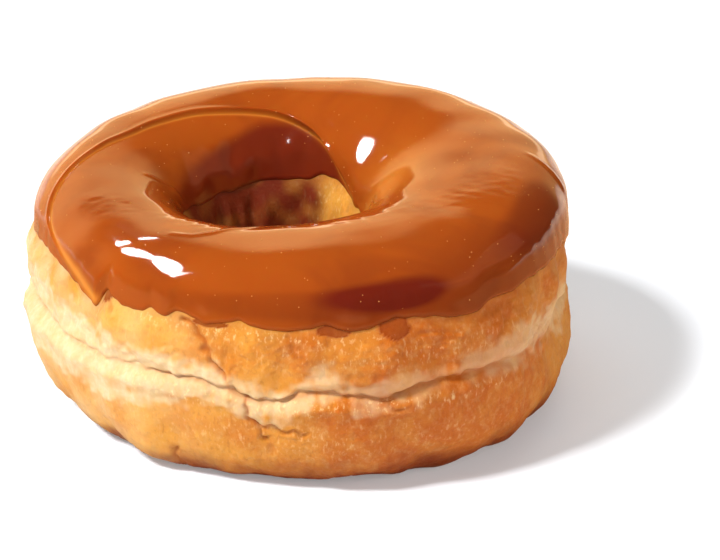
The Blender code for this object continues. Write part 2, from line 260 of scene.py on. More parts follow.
def joined_rows(parts: tuple[tuple[Array, Array, Array], ...]) -> Array:
    """Joins several stretches of rows.

    Args:
        parts: Where each stretch starts and ends at each column, and its rows' shares of it.

    Returns:
        The way of every row at every column.
    """
    stretches = [
        start[:, None] + (end - start)[:, None] * shares for start, end, shares in parts
    ]
    return np.concatenate(stretches, axis=1)


@dataclass(frozen=True)
class RingForm:
    """Sizes of the plain ring, which the crust and the glaze both follow."""

    radius: float = 44.2 * MM
    radius_waves: Waves = (
        (0.6 * MM, 1, 0.0),
        (1.6 * MM, 2, 140.0),
        (0.4 * MM, 3, 28.0),
        (0.5 * MM, 4, 28.0),
        (0.45 * MM, 5, 28.0),
    )
    hole: float = 13.3 * MM
    hole_centre: tuple[float, float] = (-3.6 * MM, 1.5 * MM)
    hole_waves: Waves = ((0.5 * MM, 3, 100.0), (0.3 * MM, 5, 20.0))
    crest: float = 36.8 * MM
    crest_waves: Waves = ((2.4 * MM, 1, 50.0),)
    crest_dips: Dips = ((0.6 * MM, 112.0, 28.0), (-0.9 * MM, 60.0, 20.0))
    crest_share: float = 0.56
    outer_widest: float = 16.0 * MM
    inner_widest: float = 19.0 * MM
    sunk_underside: float = 1.0 * MM
    outer_top_power: float = 2.6
    outer_top_rounding: Dips = ((0.45, 185.0, 50.0), (-0.35, 12.0, 40.0))
    inner_top_power: float = 2.05
    inner_top_squaring: Dips = ((0.6, 262.0, 75.0),)
    foot_power: float = 2.3
    seam: float = 18.6 * MM
    seam_dips: Dips = (
        (1.4 * MM, 187.0, 10.0),
        (1.1 * MM, 213.0, 10.0),
        (0.6 * MM, 226.0, 8.0),
        (2.4 * MM, 264.5, 7.5),
        (1.6 * MM, 287.0, 8.0),
        (1.7 * MM, 332.0, 11.0),
        (0.9 * MM, 347.0, 8.0),
        (1.4 * MM, 25.0, 9.0),
        (1.7 * MM, 78.0, 7.0),
        (1.2 * MM, 131.0, 6.0),
    )
    # Heights of the hem on the outer wall and in the hole, in mm
    outer_rim: Stops = (
        (3.0, 28.2), (12.0, 28.4), (20.0, 27.0), (29.0, 28.3), (38.0, 27.5), (48.0, 28.6),
        (61.0, 27.1), (70.0, 28.5), (78.0, 27.8), (87.0, 28.5), (96.0, 26.5), (106.0, 28.3),
        (118.0, 27.4), (129.0, 28.5), (140.0, 27.0), (150.0, 28.2), (158.0, 27.6), (166.0, 28.0),
        (175.0, 26.8), (182.5, 26.8), (190.0, 27.4), (198.0, 27.7), (206.5, 27.4), (212.0, 26.9),
        (217.0, 26.3), (220.5, 25.6), (222.3, 25.1), (223.6, 26.6), (224.6, 28.2), (227.5, 27.4),
        (233.0, 26.9), (236.0, 27.2), (238.2, 28.0), (241.5, 27.3), (244.7, 28.4), (249.5, 27.8),
        (252.5, 27.5), (258.5, 28.4), (262.5, 27.8), (268.5, 27.4), (272.5, 27.7), (276.5, 28.4),
        (280.0, 27.8), (283.0, 27.4), (286.5, 28.0), (291.0, 28.8), (297.0, 28.6), (305.0, 27.7),
        (308.5, 27.6), (312.0, 28.6), (319.0, 28.5), (324.5, 28.9), (333.0, 28.5), (345.0, 28.3),
        (354.0, 27.3),
    )
    inner_rim: Stops = (
        (0.0, 27.2), (20.0, 26.9), (36.0, 27.4), (50.0, 29.0), (60.0, 29.8), (69.0, 29.9),
        (78.0, 29.4), (86.0, 28.6), (95.0, 28.1), (103.0, 28.1), (117.0, 27.7), (136.0, 27.2),
        (148.0, 26.8), (157.0, 27.3), (180.0, 27.9), (215.0, 28.3), (250.0, 27.6), (285.0, 28.1),
        (325.0, 27.7),
    )
    axis: tuple[float, float, float] = (-0.19 * MM, 0.32 * MM, 0.0)
    front: float = 262.0
    front_density: float = 0.4
    way_step: float = 0.002
    azimuth_step: float = 0.002

    def outer_radius(self, azimuth: Array) -> Array:
        """Distance from the ring's axis to its outer wall."""
        return self.radius + waves(azimuth, self.radius_waves)

    def hole_radius(self, azimuth: Array) -> Array:
        """Distance from the ring's axis to the wall of the hole, which lies off centre.

        Args:
            azimuth: Angles in radians.

        Returns:
            The distance at each angle.
        """
        centre_x, centre_y = self.hole_centre
        towards = centre_x * np.cos(azimuth) + centre_y * np.sin(azimuth)
        across = centre_y * np.cos(azimuth) - centre_x * np.sin(azimuth)
        radius = self.hole + waves(azimuth, self.hole_waves)
        return towards + np.sqrt(radius**2 - across**2)

    def crest_height(self, azimuth: Array) -> Array:
        """Height of the ring's crest."""
        return self.crest + waves(azimuth, self.crest_waves) - dips(azimuth, self.crest_dips)

    def seam_height(self, azimuth: Array) -> Array:
        """Height of the fold between the two fried halves."""
        return self.seam - dips(azimuth, self.seam_dips)

    def outer_rim_height(self, azimuth: Array) -> Array:
        """Height of the glaze's hem on the outer wall."""
        return curving(azimuth, self.outer_rim) * MM

    def inner_rim_height(self, azimuth: Array) -> Array:
        """Height of the glaze's hem in the hole."""
        return curving(azimuth, self.inner_rim) * MM

    def outer_power(self, azimuth: Array) -> Array:
        """How square the ring's outer shoulder is."""
        return self.outer_top_power - dips(azimuth, self.outer_top_rounding)

    def inner_power(self, azimuth: Array) -> Array:
        """How square the shoulder above the hole is."""
        return self.inner_top_power + dips(azimuth, self.inner_top_squaring)

    def section(self, azimuth: Array, way: Array) -> tuple[Array, Array]:
        """Follows the plain section, four quarters of superellipses.

        Args:
            azimuth: Angles in radians.
            way: Quarter turns round the section.

        Returns:
            Radius and height.
        """
        angle = np.mod(way, 4.0) * pi / 2
        cosine, sine = np.cos(angle), np.sin(angle)
        outside, above = cosine >= 0, sine >= 0
        outer, hole = self.outer_radius(azimuth), self.hole_radius(azimuth)
        crest_radius = hole + self.crest_share * (outer - hole)
        width = np.where(outside, outer - crest_radius, crest_radius - hole)
        widest = np.where(outside, self.outer_widest, self.inner_widest)
        reach = np.where(above, self.crest_height(azimuth) - widest, widest + self.sunk_underside)
        top_power = np.where(outside, self.outer_power(azimuth), self.inner_power(azimuth))
        power = np.where(above, top_power, self.foot_power)
        scale = (np.abs(cosine) ** power + np.abs(sine) ** power) ** (-1 / power)
        return crest_radius + width * cosine * scale, widest + reach * sine * scale

    @staticmethod
    def quarter_at(share: Array, power: float) -> Array:
        """Share of a quarter turn at which a superellipse is this share of its reach high."""
        share = np.clip(share, 0.0, 1.0)
        return np.arctan2(share, (1.0 - share**power) ** (1 / power)) / (pi / 2)

    def outer_way(self, azimuth: Array, height: Array) -> Array:
        """The way at which the outer wall has this height.

        Args:
            azimuth: Angles in radians.
            height: Heights above the floor.

        Returns:
            The way at each place, from -1 at the foot to 1 at the crest.
        """
        above = height - self.outer_widest
        top = self.crest_height(azimuth) - self.outer_widest
        up = self.quarter_at(above / top, self.outer_power(azimuth))
        down = self.quarter_at(-above / (self.outer_widest + self.sunk_underside), self.foot_power)
        return np.where(above >= 0, up, -down)

    def inner_way(self, azimuth: Array, height: Array) -> Array:
        """The way at which the upper wall of the hole has this height."""
        share = (height - self.inner_widest) / (self.crest_height(azimuth) - self.inner_widest)
        return 2.0 - self.quarter_at(share, self.inner_power(azimuth))

    def flat_ways(self) -> tuple[float, float]:
        """Works out where the flat underside lies.

        Returns:
            The ways at which it starts and ends.
        """
        inner, outer = self.inner_widest, self.outer_widest
        start = self.quarter_at(inner / (inner + self.sunk_underside), self.foot_power)
        end = self.quarter_at(outer / (outer + self.sunk_underside), self.foot_power)
        return 2.0 + start, 4.0 - end

    def point(self, azimuth: Array, way: Array) -> Array:
        """Finds points of the plain ring, on its flat underside where that cuts it.

        Args:
            azimuth: Angles in radians.
            way: Quarter turns round the section.

        Returns:
            The points, with three numbers in the last axis.
        """
        radius, height = self.section(azimuth, way)
        height = np.maximum(height, 0.0)
        return np.stack([radius * np.cos(azimuth), radius * np.sin(azimuth), height], axis=-1)

    def outward(self, azimuth: Array, way: Array) -> Array:
        """Finds the directions that point straight out of the plain ring.

        Args:
            azimuth: Angles in radians.
            way: Quarter turns round the section.

        Returns:
            Unit normals.
        """
        turn, step = self.azimuth_step, self.way_step
        onward = self.point(azimuth + turn, way) - self.point(azimuth - turn, way)
        up = self.point(azimuth, way + step) - self.point(azimuth, way - step)
        normal = np.cross(onward, up)
        return normal / np.linalg.norm(normal, axis=-1, keepdims=True)

    def columns(self, count: int) -> Array:
        """Azimuths of a mesh's columns, closer together on the side that is seen best."""
        turn = np.linspace(0.0, 2 * pi, count, endpoint=False)
        return turn - self.front_density * np.sin(turn - np.radians(self.front))


@dataclass(frozen=True)
class Grid:
    """Points in columns round the ring and rows round its section, with values for the masks."""

    points: Array
    masks: dict[Mask, Array]

    def mesh(self, name: str) -> bpy.types.Mesh:
        """Joins the points into a closed skin of quads.

        Args:
            name: The mesh's name.

        Returns:
            A smooth mesh that carries each mask as an attribute.
        """
        columns, rows = self.points.shape[:2]
        column, row = np.meshgrid(np.arange(columns), np.arange(rows), indexing="ij")
        following, above = (column + 1) % columns, (row + 1) % rows
        quads = np.stack(
            [
                column * rows + row,
                following * rows + row,
                following * rows + above,
                column * rows + above,
            ],
            axis=-1,
        ).reshape(-1, 4)
        mesh = bpy.data.meshes.new(name)
        mesh.from_pydata(self.points.reshape(-1, 3), [], quads)
        for mask, values in self.masks.items():
            layer = mesh.attributes.new(mask.value, "FLOAT", "POINT")
            layer.data.foreach_set("value", values.reshape(-1).astype(np.float32))
        mesh.shade_smooth()
        return mesh


def add_node(
    tree: bpy.types.NodeTree,
    kind: str,
    settings: dict[str, Any] | None = None,
    links: dict[str | int, Any] | None = None,
) -> bpy.types.Node:
    """Adds a node with its settings, values and links.

    Args:
        tree: The node tree that the node goes in.
        kind: The node's type name.
        settings: Properties of the node itself.
        links: What goes into each input, by name or number: a socket or a plain value.

    Returns:
        The node.
    """
    node = tree.nodes.new(kind)
    for key, value in (settings or {}).items():
        setattr(node, key, value)
    for key, value in (links or {}).items():
        if isinstance(value, bpy.types.NodeSocket):
            tree.links.new(value, node.inputs[key])
        else:
            node.inputs[key].default_value = value
    return node


def start_material(name: str, values: dict[str, Any]) -> tuple[bpy.types.Material, bpy.types.Node]:
    """Makes a material whose shader has these values.

    Args:
        name: The material's name.
        values: What the shader's inputs are where they are the same all over.

    Returns:
        The material and its shader.
    """
    material = bpy.data.materials.new(name)
    material.use_nodes = True
    shader = material.node_tree.nodes["Principled BSDF"]
    for socket, value in values.items():
        shader.inputs[socket].default_value = value
    return material, shader


@dataclass(frozen=True)
class FriedCrust:
    """Wheat dough fried golden in oil: a dry, finely wrinkled skin with a faint oily sheen.

    The oil browns what floats in it, so each half is darkest away from the seam, where the dough
    stayed above the oil and is pale and bready.
    """

    golden: str = "#D6963A"
    amber: str = "#B45C14"
    toasted: str = "#7E3510"
    cream: str = "#DECAA6"
    straw: str = "#CFA469"
    # Pale colour painted in flecks as glints
    painted_glint_colour: str = "#F4D79C"
    # Orange-brown painted as shade in the seam's fold and in the creases
    crease_shadow: str = "#A9561B"
    # Dark red-brown painted as shade on the dough inside the hole
    hole_shade: str = "#6A2410"
    film: str = "#853611"
    roughness: tuple[float, float] = (0.43, 0.69)
    wet_roughness: float = 0.2
    ior: float = 1.45
    sheen: float = 0.3
    scatter: float = 0.3
    scatter_colours: tuple[float, float, float] = (1.0, 0.42, 0.16)
    scatter_reach: float = 1.6 * MM
    patch_size: float = 8.0 * MM
    patch_browning: Spread = (0.38, 0.7, 0.44)
    freckle_size: float = 1.3 * MM
    freckle_paling: Spread = (0.5, 0.75, 0.3)
    glint_and_pit_size: float = 0.6 * MM
    glint_and_pit_squeeze: Stretch = (1.0, 1.0, 0.5)
    painted_glint_spread: Spread = (0.55, 0.72, 0.75)
    pit_browning: Spread = (0.42, 0.28, 0.22)
    wrinkle_size: float = 1.1 * MM
    wrinkle_height: float = 0.2 * MM
    wrinkle_strength: float = 0.55
    pore_size: float = 0.5 * MM
    pore_height: float = 0.1 * MM
    pore_strength: float = 0.4

    def build(self) -> bpy.types.Material:
        """Makes the crust's material.

        Returns:
            A material that mixes its browning from the mesh's masks and from noise.
        """
        material, shader = start_material(
            "fried_dough_crust",
            {
                "IOR": self.ior,
                "Specular IOR Level": self.sheen,
                "Subsurface Weight": self.scatter,
                "Subsurface Radius": self.scatter_colours,
                "Subsurface Scale": self.scatter_reach,
            },
        )
        tree = material.node_tree
        place = add_node(tree, "ShaderNodeTexCoord").outputs["Object"]
        masks = {
            mask: add_node(
                tree, "ShaderNodeAttribute", {"attribute_name": mask.value}
            ).outputs["Fac"]
            for mask in (
                Mask.PALE,
                Mask.TOAST,
                Mask.CREASE,
                Mask.HOLE,
                Mask.WARM,
                Mask.STAIN,
                Mask.GLINT,
            )
        }
        squeezed = add_node(
            tree,
            "ShaderNodeVectorMath",
            {"operation": "MULTIPLY"},
            {0: place, 1: self.glint_and_pit_squeeze},
        ).outputs["Vector"]
        patches, freckles, glint_and_pit_noise = (
            add_node(
                tree,
                "ShaderNodeTexNoise",
                {},
                {"Vector": where, "Scale": 1 / size, "Detail": detail, "Roughness": coarseness},
            ).outputs["Fac"]
            for where, size, detail, coarseness in (
                (place, self.patch_size, 4.0, 0.62),
                (place, self.freckle_size, 3.0, 0.6),
                (squeezed, self.glint_and_pit_size, 2.0, 0.6),
            )
        )
        browned, paled, painted_glints, pits = (
            add_node(
                tree,
                "ShaderNodeMapRange",
                {"interpolation_type": fade},
                {"Value": noise, "From Min": start, "From Max": full, "To Max": most},
            ).outputs["Result"]
            for noise, fade, (start, full, most) in (
                (patches, "SMOOTHSTEP", self.patch_browning),
                (freckles, "LINEAR", self.freckle_paling),
                (glint_and_pit_noise, "LINEAR", self.painted_glint_spread),
                (glint_and_pit_noise, "LINEAR", self.pit_browning),
            )
        )
        # Painted shade on the side away from the main lamp deepens the browning
        browned = add_node(
            tree,
            "ShaderNodeMath",
            {"operation": "ADD", "use_clamp": True},
            {0: browned, 1: masks[Mask.WARM]},
        ).outputs[0]
        # Flecks of painted glint, only where the glint mask lets them
        painted_glints = add_node(
            tree, "ShaderNodeMath", {"operation": "MULTIPLY"}, {0: painted_glints, 1: masks[Mask.GLINT]}
        ).outputs[0]
        crumb = add_node(
            tree,
            "ShaderNodeMix",
            {"data_type": "RGBA"},
            {0: freckles, 6: linear(self.cream), 7: linear(self.straw)},
        ).outputs[2]
        skin = linear(self.golden)
        for share, colour in (
            (browned, linear(self.amber)),
            (paled, linear(self.straw)),
            (masks[Mask.TOAST], linear(self.toasted)),
            (masks[Mask.HOLE], linear(self.hole_shade)),
            (pits, linear(self.toasted)),
            (masks[Mask.PALE], crumb),
            (painted_glints, linear(self.painted_glint_colour)),
            (masks[Mask.CREASE], linear(self.crease_shadow)),
            (masks[Mask.STAIN], linear(self.film)),
        ):
            skin = add_node(
                tree, "ShaderNodeMix", {"data_type": "RGBA"}, {0: share, 6: skin, 7: colour}
            ).outputs[2]
        tree.links.new(skin, shader.inputs["Base Color"])
        smoothest, roughest = self.roughness
        gloss = add_node(
            tree,
            "ShaderNodeMapRange",
            {},
            {"Value": freckles, "To Min": smoothest, "To Max": roughest},
        ).outputs["Result"]
        gloss = add_node(
            tree,
            "ShaderNodeMix",
            {"data_type": "FLOAT"},
            {0: masks[Mask.STAIN], 2: gloss, 3: self.wet_roughness},
        ).outputs[0]
        tree.links.new(gloss, shader.inputs["Roughness"])
        self.wrinkle(tree, shader, place)
        return material

    def wrinkle(
        self, tree: bpy.types.NodeTree, shader: bpy.types.Node, place: bpy.types.NodeSocket
    ) -> None:
        """Adds the skin's fine wrinkles and pores as bump.

        Args:
            tree: The material's nodes.
            shader: The shader that takes the bump.
            place: Object coordinates.
        """
        wrinkles = add_node(
            tree,
            "ShaderNodeTexNoise",
            {},
            {
                "Vector": place,
                "Scale": 1 / self.wrinkle_size,
                "Detail": 5.0,
                "Roughness": 0.6,
                "Distortion": 0.6,
            },
        ).outputs["Fac"]
        pores = add_node(
            tree,
            "ShaderNodeTexVoronoi",
            {"feature": "SMOOTH_F1"},
            {"Vector": place, "Scale": 1 / self.pore_size, "Smoothness": 0.6},
        ).outputs["Distance"]
        wrinkled = add_node(
            tree,
            "ShaderNodeBump",
            {},
            {
                "Height": wrinkles,
                "Strength": self.wrinkle_strength,
                "Distance": self.wrinkle_height,
            },
        ).outputs["Normal"]
        pitted = add_node(
            tree,
            "ShaderNodeBump",
            {},
            {
                "Height": pores,
                "Strength": self.pore_strength,
                "Distance": self.pore_height,
                "Normal": wrinkled,
            },
        ).outputs["Normal"]
        tree.links.new(pitted, shader.inputs["Normal"])


@dataclass(frozen=True)
class MapleGlaze:
    """Maple icing poured warm: cooked sugar with a wet, glassy skin over a cloudy caramel body.

    Amber is painted where light would shine through, and a deep red-brown is used for its cloudy
    swirls and for painted shade and dark reflections.
    """

    body: str = "#9B4610"
    # Dark red-brown of the cloudy swirls, also painted as shade and dark reflections
    deep: str = "#62190D"
    # Amber painted as light shining through the glaze
    amber: str = "#D0802C"
    roughness: float = 0.07
    ior: float = 1.49
    scatter: float = 0.45
    scatter_colours: tuple[float, float, float] = (1.0, 0.35, 0.1)
    scatter_reach: float = 2.2 * MM
    swirl_size: float = 16.0 * MM
    swirl_clouding: Spread = (0.4, 0.65, 0.3)
    pucker_size: float = 1.6 * MM
    pucker_height: float = 0.1 * MM
    pucker_strength: float = 0.1

    def build(self) -> bpy.types.Material:
        """Makes the glaze's material.

        Returns:
            A glossy, slightly cloudy caramel, with painted glow, shade and dark reflections.
        """
        material, shader = start_material(
            "cooked_sugar_maple_glaze",
            {
                "Roughness": self.roughness,
                "IOR": self.ior,
                "Subsurface Weight": self.scatter,
                "Subsurface Radius": self.scatter_colours,
                "Subsurface Scale": self.scatter_reach,
            },
        )
        tree = material.node_tree
        place = add_node(tree, "ShaderNodeTexCoord").outputs["Object"]
        # The depth mask carries painted shade and dark reflections, the glow mask painted light
        depth, glow = (
            add_node(tree, "ShaderNodeAttribute", {"attribute_name": mask.value}).outputs["Fac"]
            for mask in (Mask.DEPTH, Mask.GLOW)
        )
        swirls = add_node(
            tree,
            "ShaderNodeTexNoise",
            {},
            {"Vector": place, "Scale": 1 / self.swirl_size, "Detail": 3.0, "Distortion": 0.8},
        ).outputs["Fac"]
        start, full, most = self.swirl_clouding
        clouds = add_node(
            tree,
            "ShaderNodeMapRange",
            {"interpolation_type": "SMOOTHSTEP"},
            {"Value": swirls, "From Min": start, "From Max": full, "To Max": most},
        ).outputs["Result"]
        colour = linear(self.body)
        for share, shade in ((clouds, self.deep), (depth, self.deep), (glow, self.amber)):
            colour = add_node(
                tree, "ShaderNodeMix", {"data_type": "RGBA"}, {0: share, 6: colour, 7: linear(shade)}
            ).outputs[2]
        tree.links.new(colour, shader.inputs["Base Color"])
        pucker = add_node(
            tree,
            "ShaderNodeTexNoise",
            {},
            {"Vector": place, "Scale": 1 / self.pucker_size, "Detail": 3.0, "Roughness": 0.55},
        ).outputs["Fac"]
        puckered = add_node(
            tree,
            "ShaderNodeBump",
            {},
            {
                "Height": pucker,
                "Strength": self.pucker_strength,
                "Distance": self.pucker_height,
            },
        ).outputs["Normal"]
        tree.links.new(puckered, shader.inputs["Normal"])
        return material


@dataclass(frozen=True)
class GlazeFroth:
    """Tiny air bubbles caught in the glaze's skin, which look like pale specks."""

    froth: str = "#D08A4A"
    roughness: float = 0.25
    wet_coat: float = 0.3

    def build(self) -> bpy.types.Material:
        """Makes the bubbles' material.

        Returns:
            A pale, slightly wet caramel.
        """
        return start_material(
            "froth_in_sugar_glaze",
            {
                "Base Color": linear(self.froth),
                "Roughness": self.roughness,
                "Coat Weight": self.wet_coat,
            },
        )[0]


def piece(name: str, mesh: bpy.types.Mesh) -> bpy.types.Object:
    """Makes a piece of the doughnut that rides on its body.

    Args:
        name: The piece's name.
        mesh: Its mesh, in place.

    Returns:
        The piece.
    """
    made = bpy.data.objects.new(name, mesh)
    bpy.context.scene.collection.objects.link(made)
    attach(made, "root")
    LOG.info("%s: %d faces", name, len(mesh.polygons))
    return made


@dataclass
class Crust:
    """The fried ring: two browned halves with a fold and a pale band between them."""

    form: RingForm
    columns: int = 440
    covered_rows: int = 12
    hole_rows: int = 34
    underside_rows: int = 8
    lower_rows: int = 104
    upper_rows: int = 62
    seam_crowding: float = 1.4
    waist_depth: float = 0.7 * MM
    waist_reach: float = 4.0 * MM
    fold_depth: float = 0.82 * MM
    fold_share: Stops = (
        (0.0, 0.4), (30.0, 0.8), (60.0, 1.1), (95.0, 0.6), (130.0, 1.0), (165.0, 0.6), (190.0, 0.6),
        (210.0, 0.4), (235.0, 0.55), (252.0, 0.9), (262.0, 0.85), (276.0, 1.05), (290.0, 1.0),
        (305.0, 0.8), (320.0, 0.5), (335.0, 0.25),
    )
    fold_reach: float = 0.6 * MM
    lip_reach: float = 0.38 * MM
    lip: float = 0.3 * MM
    lip_rise: float = 1.4 * MM
    shelf: float = 0.9 * MM
    shelf_reach: float = 1.7 * MM
    shelf_drop: float = 2.3 * MM
    shelf_fades: Dips = ((0.9, 335.0, 38.0),)
    # Each swell's size, azimuth, reach in degrees, height and reach in height
    swells: tuple[tuple[float, float, float, float, float], ...] = (
        (1.7 * MM, 333.0, 24.0, 5.5 * MM, 7.0 * MM),
        (-1.0 * MM, 345.0, 18.0, 21.0 * MM, 5.0 * MM),
        (-1.3 * MM, 350.0, 16.0, 15.5 * MM, 4.5 * MM),
        (0.8 * MM, 192.0, 18.0, 13.0 * MM, 3.5 * MM),
        (-0.8 * MM, 186.0, 14.0, 18.0 * MM, 2.5 * MM),
        (0.5 * MM, 188.0, 14.0, 24.0 * MM, 3.5 * MM),
        (0.6 * MM, 275.0, 40.0, 3.0 * MM, 4.0 * MM),
        (0.9 * MM, 238.0, 5.0, 2.5 * MM, 3.0 * MM),
    )
    upper_lumps: Waves = ((0.25 * MM, 7, 231.0), (0.25 * MM, 12, 262.0), (0.12 * MM, 23, 300.0))
    lower_lumps: Waves = ((0.35 * MM, 5, 290.0), (0.3 * MM, 9, 235.0), (0.12 * MM, 21, 250.0))
    hole_lumps: Waves = ((0.3 * MM, 7, 60.0), (0.25 * MM, 12, 75.0))
    lump_fade: float = 2.2 * MM
    foot_fade: float = 4.0 * MM
    seam_wander: tuple[Ripple, ...] = (
        Ripple(0.25 * MM, 5.0 * MM, 11),
        Ripple(0.1 * MM, 2.2 * MM, 10),
    )
    fold_variety: Ripple = Ripple(0.2, 9.0 * MM, 12)
    crease_reach: float = 0.36 * MM
    crease_sideways: Ripple = Ripple(0.25 * MM, 2.6 * MM, 27)
    crease_upwards: Ripple = Ripple(0.25 * MM, 2.6 * MM, 28)
    # Each of the creases: its depth, then the azimuths and the heights in mm that it runs through
    creases: tuple[tuple[float, Stops], ...] = (
        (0.7 * MM, ((246.5, 28.0), (251.0, 25.6), (253.0, 22.2), (256.0, 19.6))),
        (0.4 * MM, ((269.5, 27.0), (270.8, 23.6))),
        (0.6 * MM, ((261.0, 17.0), (261.0, 13.3), (264.5, 9.6))),
        (0.3 * MM, ((264.5, 9.6), (266.0, 6.5))),
        (0.5 * MM, ((262.5, 12.2), (272.0, 11.0))),
        (0.5 * MM, ((289.3, 15.2), (290.8, 14.4))),
        (0.5 * MM, ((243.0, 5.0), (243.5, 1.0))),
        (0.4 * MM, ((225.5, 27.5), (227.5, 25.8))),
        (0.4 * MM, ((316.0, 26.0), (313.0, 22.0))),
        (0.7 * MM, ((24.0, 27.5), (27.0, 22.0), (25.0, 18.0))),
        (0.7 * MM, ((81.0, 17.5), (78.0, 12.0), (80.0, 7.5))),
        (0.6 * MM, ((128.0, 27.0), (131.0, 20.0))),
        (0.6 * MM, ((170.0, 15.0), (173.0, 9.0))),
    )
    skin_fade: float = 2.0 * MM
    pillows: Ripple = Ripple(0.3 * MM, 7.5 * MM, 13, (1.0, 1.0, 0.5))
    pillow_below: float = 0.7
    pleat: float = 0.24 * MM
    pleat_below: float = 0.5
    pleat_lines: Ripple = Ripple(1.0, 7.0 * MM, 14, (1.0, 1.0, 0.5))
    pleat_width: float = 0.22
    pleat_places: Ripple = Ripple(1.0, 13.0 * MM, 15)
    pleat_cover: float = 0.5
    stretch_marks: Ripple = Ripple(0.11 * MM, 1.7 * MM, 16, (1.0, 1.0, 0.3))
    # Share of the stretch marks, height above the seam and reach
    marked_bands: tuple[tuple[float, float, float], ...] = (
        (1.0, -2.0 * MM, 2.2 * MM),
        (0.7, 1.6 * MM, 1.6 * MM),
    )
    grain: Ripple = Ripple(0.035 * MM, 2.1 * MM, 17)
    grain_places: Ripple = Ripple(1.0, 9.0 * MM, 18)
    grain_cover: float = 0.4
    grain_below: float = 0.5
    fine_grain: Ripple = Ripple(0.042 * MM, 1.05 * MM, 19)
    wall_foot_fade: float = 0.08
    hem_overlap: float = 0.01
    lump_hem_fade: float = 0.12
    hollow_hem_fade: float = 0.05
    hole_ways: tuple[float, float] = (1.2, 3.0)
    hole_relief: tuple[Ripple, ...] = (
        Ripple(0.28 * MM, 3.4 * MM, 25, (1.0, 1.0, 0.2)),
        Ripple(0.05 * MM, 1.6 * MM, 26),
    )
    hole_margin: float = 0.02
    hole_rim_fade: float = 0.15
    hole_foot_fade: float = 0.2
    ragged_edges: tuple[Ripple, ...] = (
        Ripple(0.5 * MM, 3.0 * MM, 21),
        Ripple(0.7 * MM, 9.0 * MM, 22),
        Ripple(0.25 * MM, 1.4 * MM, 20),
    )
    # Reach of the pale band above and below the seam, in mm
    band_above: Stops = (
        (0.0, 5.0), (90.0, 5.0), (180.0, 6.5), (205.0, 5.5), (225.0, 4.0), (240.0, 3.0),
        (255.0, 2.6), (275.0, 1.8), (300.0, 2.4), (320.0, 4.2), (340.0, 5.0),
    )
    band_below: Stops = (
        (0.0, 3.0), (90.0, 4.5), (180.0, 6.0), (205.0, 6.0), (228.0, 6.0), (245.0, 4.0),
        (262.0, 3.0), (285.0, 1.7), (310.0, 0.9), (340.0, 1.3),
    )
    band_softness: float = 3.0 * MM
    paleness: Stops = (
        (0.0, 0.55), (90.0, 0.8), (180.0, 0.95), (225.0, 0.95), (250.0, 0.9), (270.0, 0.75),
        (290.0, 0.4), (305.0, 0.3), (322.0, 0.5), (340.0, 0.6),
    )
    # Height in mm below which the lower half is toasted
    toast_height: Stops = (
        (0.0, 7.0), (90.0, 6.0), (200.0, 5.5), (225.0, 7.0), (255.0, 6.0), (275.0, 7.0),
        (300.0, 8.5), (335.0, 9.0),
    )
    toast_softness: float = 5.5 * MM
    toast_ragged: float = 0.5
    brow_share: float = 0.2
    brow_from: float = 24.0 * MM
    brow_softness: float = 4.0 * MM
    brow_ragged: float = 2.0
    pale_blotches: Ripple = Ripple(0.12, 5.0 * MM, 23)
    lit_side_blotches: Ripple = Ripple(0.4, 7.0 * MM, 30)
    fold_shade: float = 0.45
    fold_shade_drop: float = 0.1 * MM
    fold_shade_reach: float = 0.4 * MM
    crease_shade: float = 1.1
    deepest_shade: float = 0.85
    # Painted light: paler crust on the side facing the main lamp
    lit_side_paleness: Stops = (
        (0.0, 0.0), (120.0, 0.0), (160.0, 0.25), (185.0, 0.42), (205.0, 0.36), (225.0, 0.28),
        (240.0, 0.12), (255.0, 0.0),
    )
    # Painted shade: deeper orange browning away from the main lamp, most at about 305 degrees
    shaded_side_warmth: Stops = (
        (0.0, 0.4), (60.0, 0.3), (120.0, 0.2), (180.0, 0.0), (235.0, 0.0), (255.0, 0.2),
        (275.0, 0.5), (305.0, 0.85), (340.0, 0.5),
    )
    stain_outline: Ripple = Ripple(0.08, 2.4 * MM, 29)
    stain_edge: float = 1.05
    stain_softness: float = 0.12
    stain_body: float = 0.82
    stain_rim: float = 0.95
    stain_rim_reach: float = 0.1
    # Each stain's azimuth and height, then its reach in degrees and in height
    stains: tuple[tuple[float, float, float, float], ...] = (
        (278.7, 27.7 * MM, 3.7, 0.9 * MM),
        (290.5, 27.9 * MM, 3.2, 2.0 * MM),
        (225.2, 28.0 * MM, 1.7, 1.6 * MM),
        (252.5, 27.6 * MM, 4.0, 0.6 * MM),
        (18.0, 26.9 * MM, 4.0, 0.9 * MM),
        (98.0, 26.6 * MM, 4.0, 0.9 * MM),
        (150.0, 28.0 * MM, 4.0, 0.9 * MM),
    )
    # Painted shade in the hole: its random spread, then its share at each azimuth, least near 60
    # degrees where light reaches in
    hole_shade_blotches: Ripple = Ripple(0.1, 5.0 * MM, 24)
    hole_shade_shares: Stops = (
        (0.0, 0.55), (30.0, 0.2), (55.0, 0.05), (65.0, 0.15), (71.0, 0.4), (78.0, 0.85),
        (100.0, 0.97), (200.0, 0.95), (300.0, 0.7),
    )
    glint_everywhere: float = 0.03
    glint_in_hole: tuple[float, float] = (62.0, 30.0)
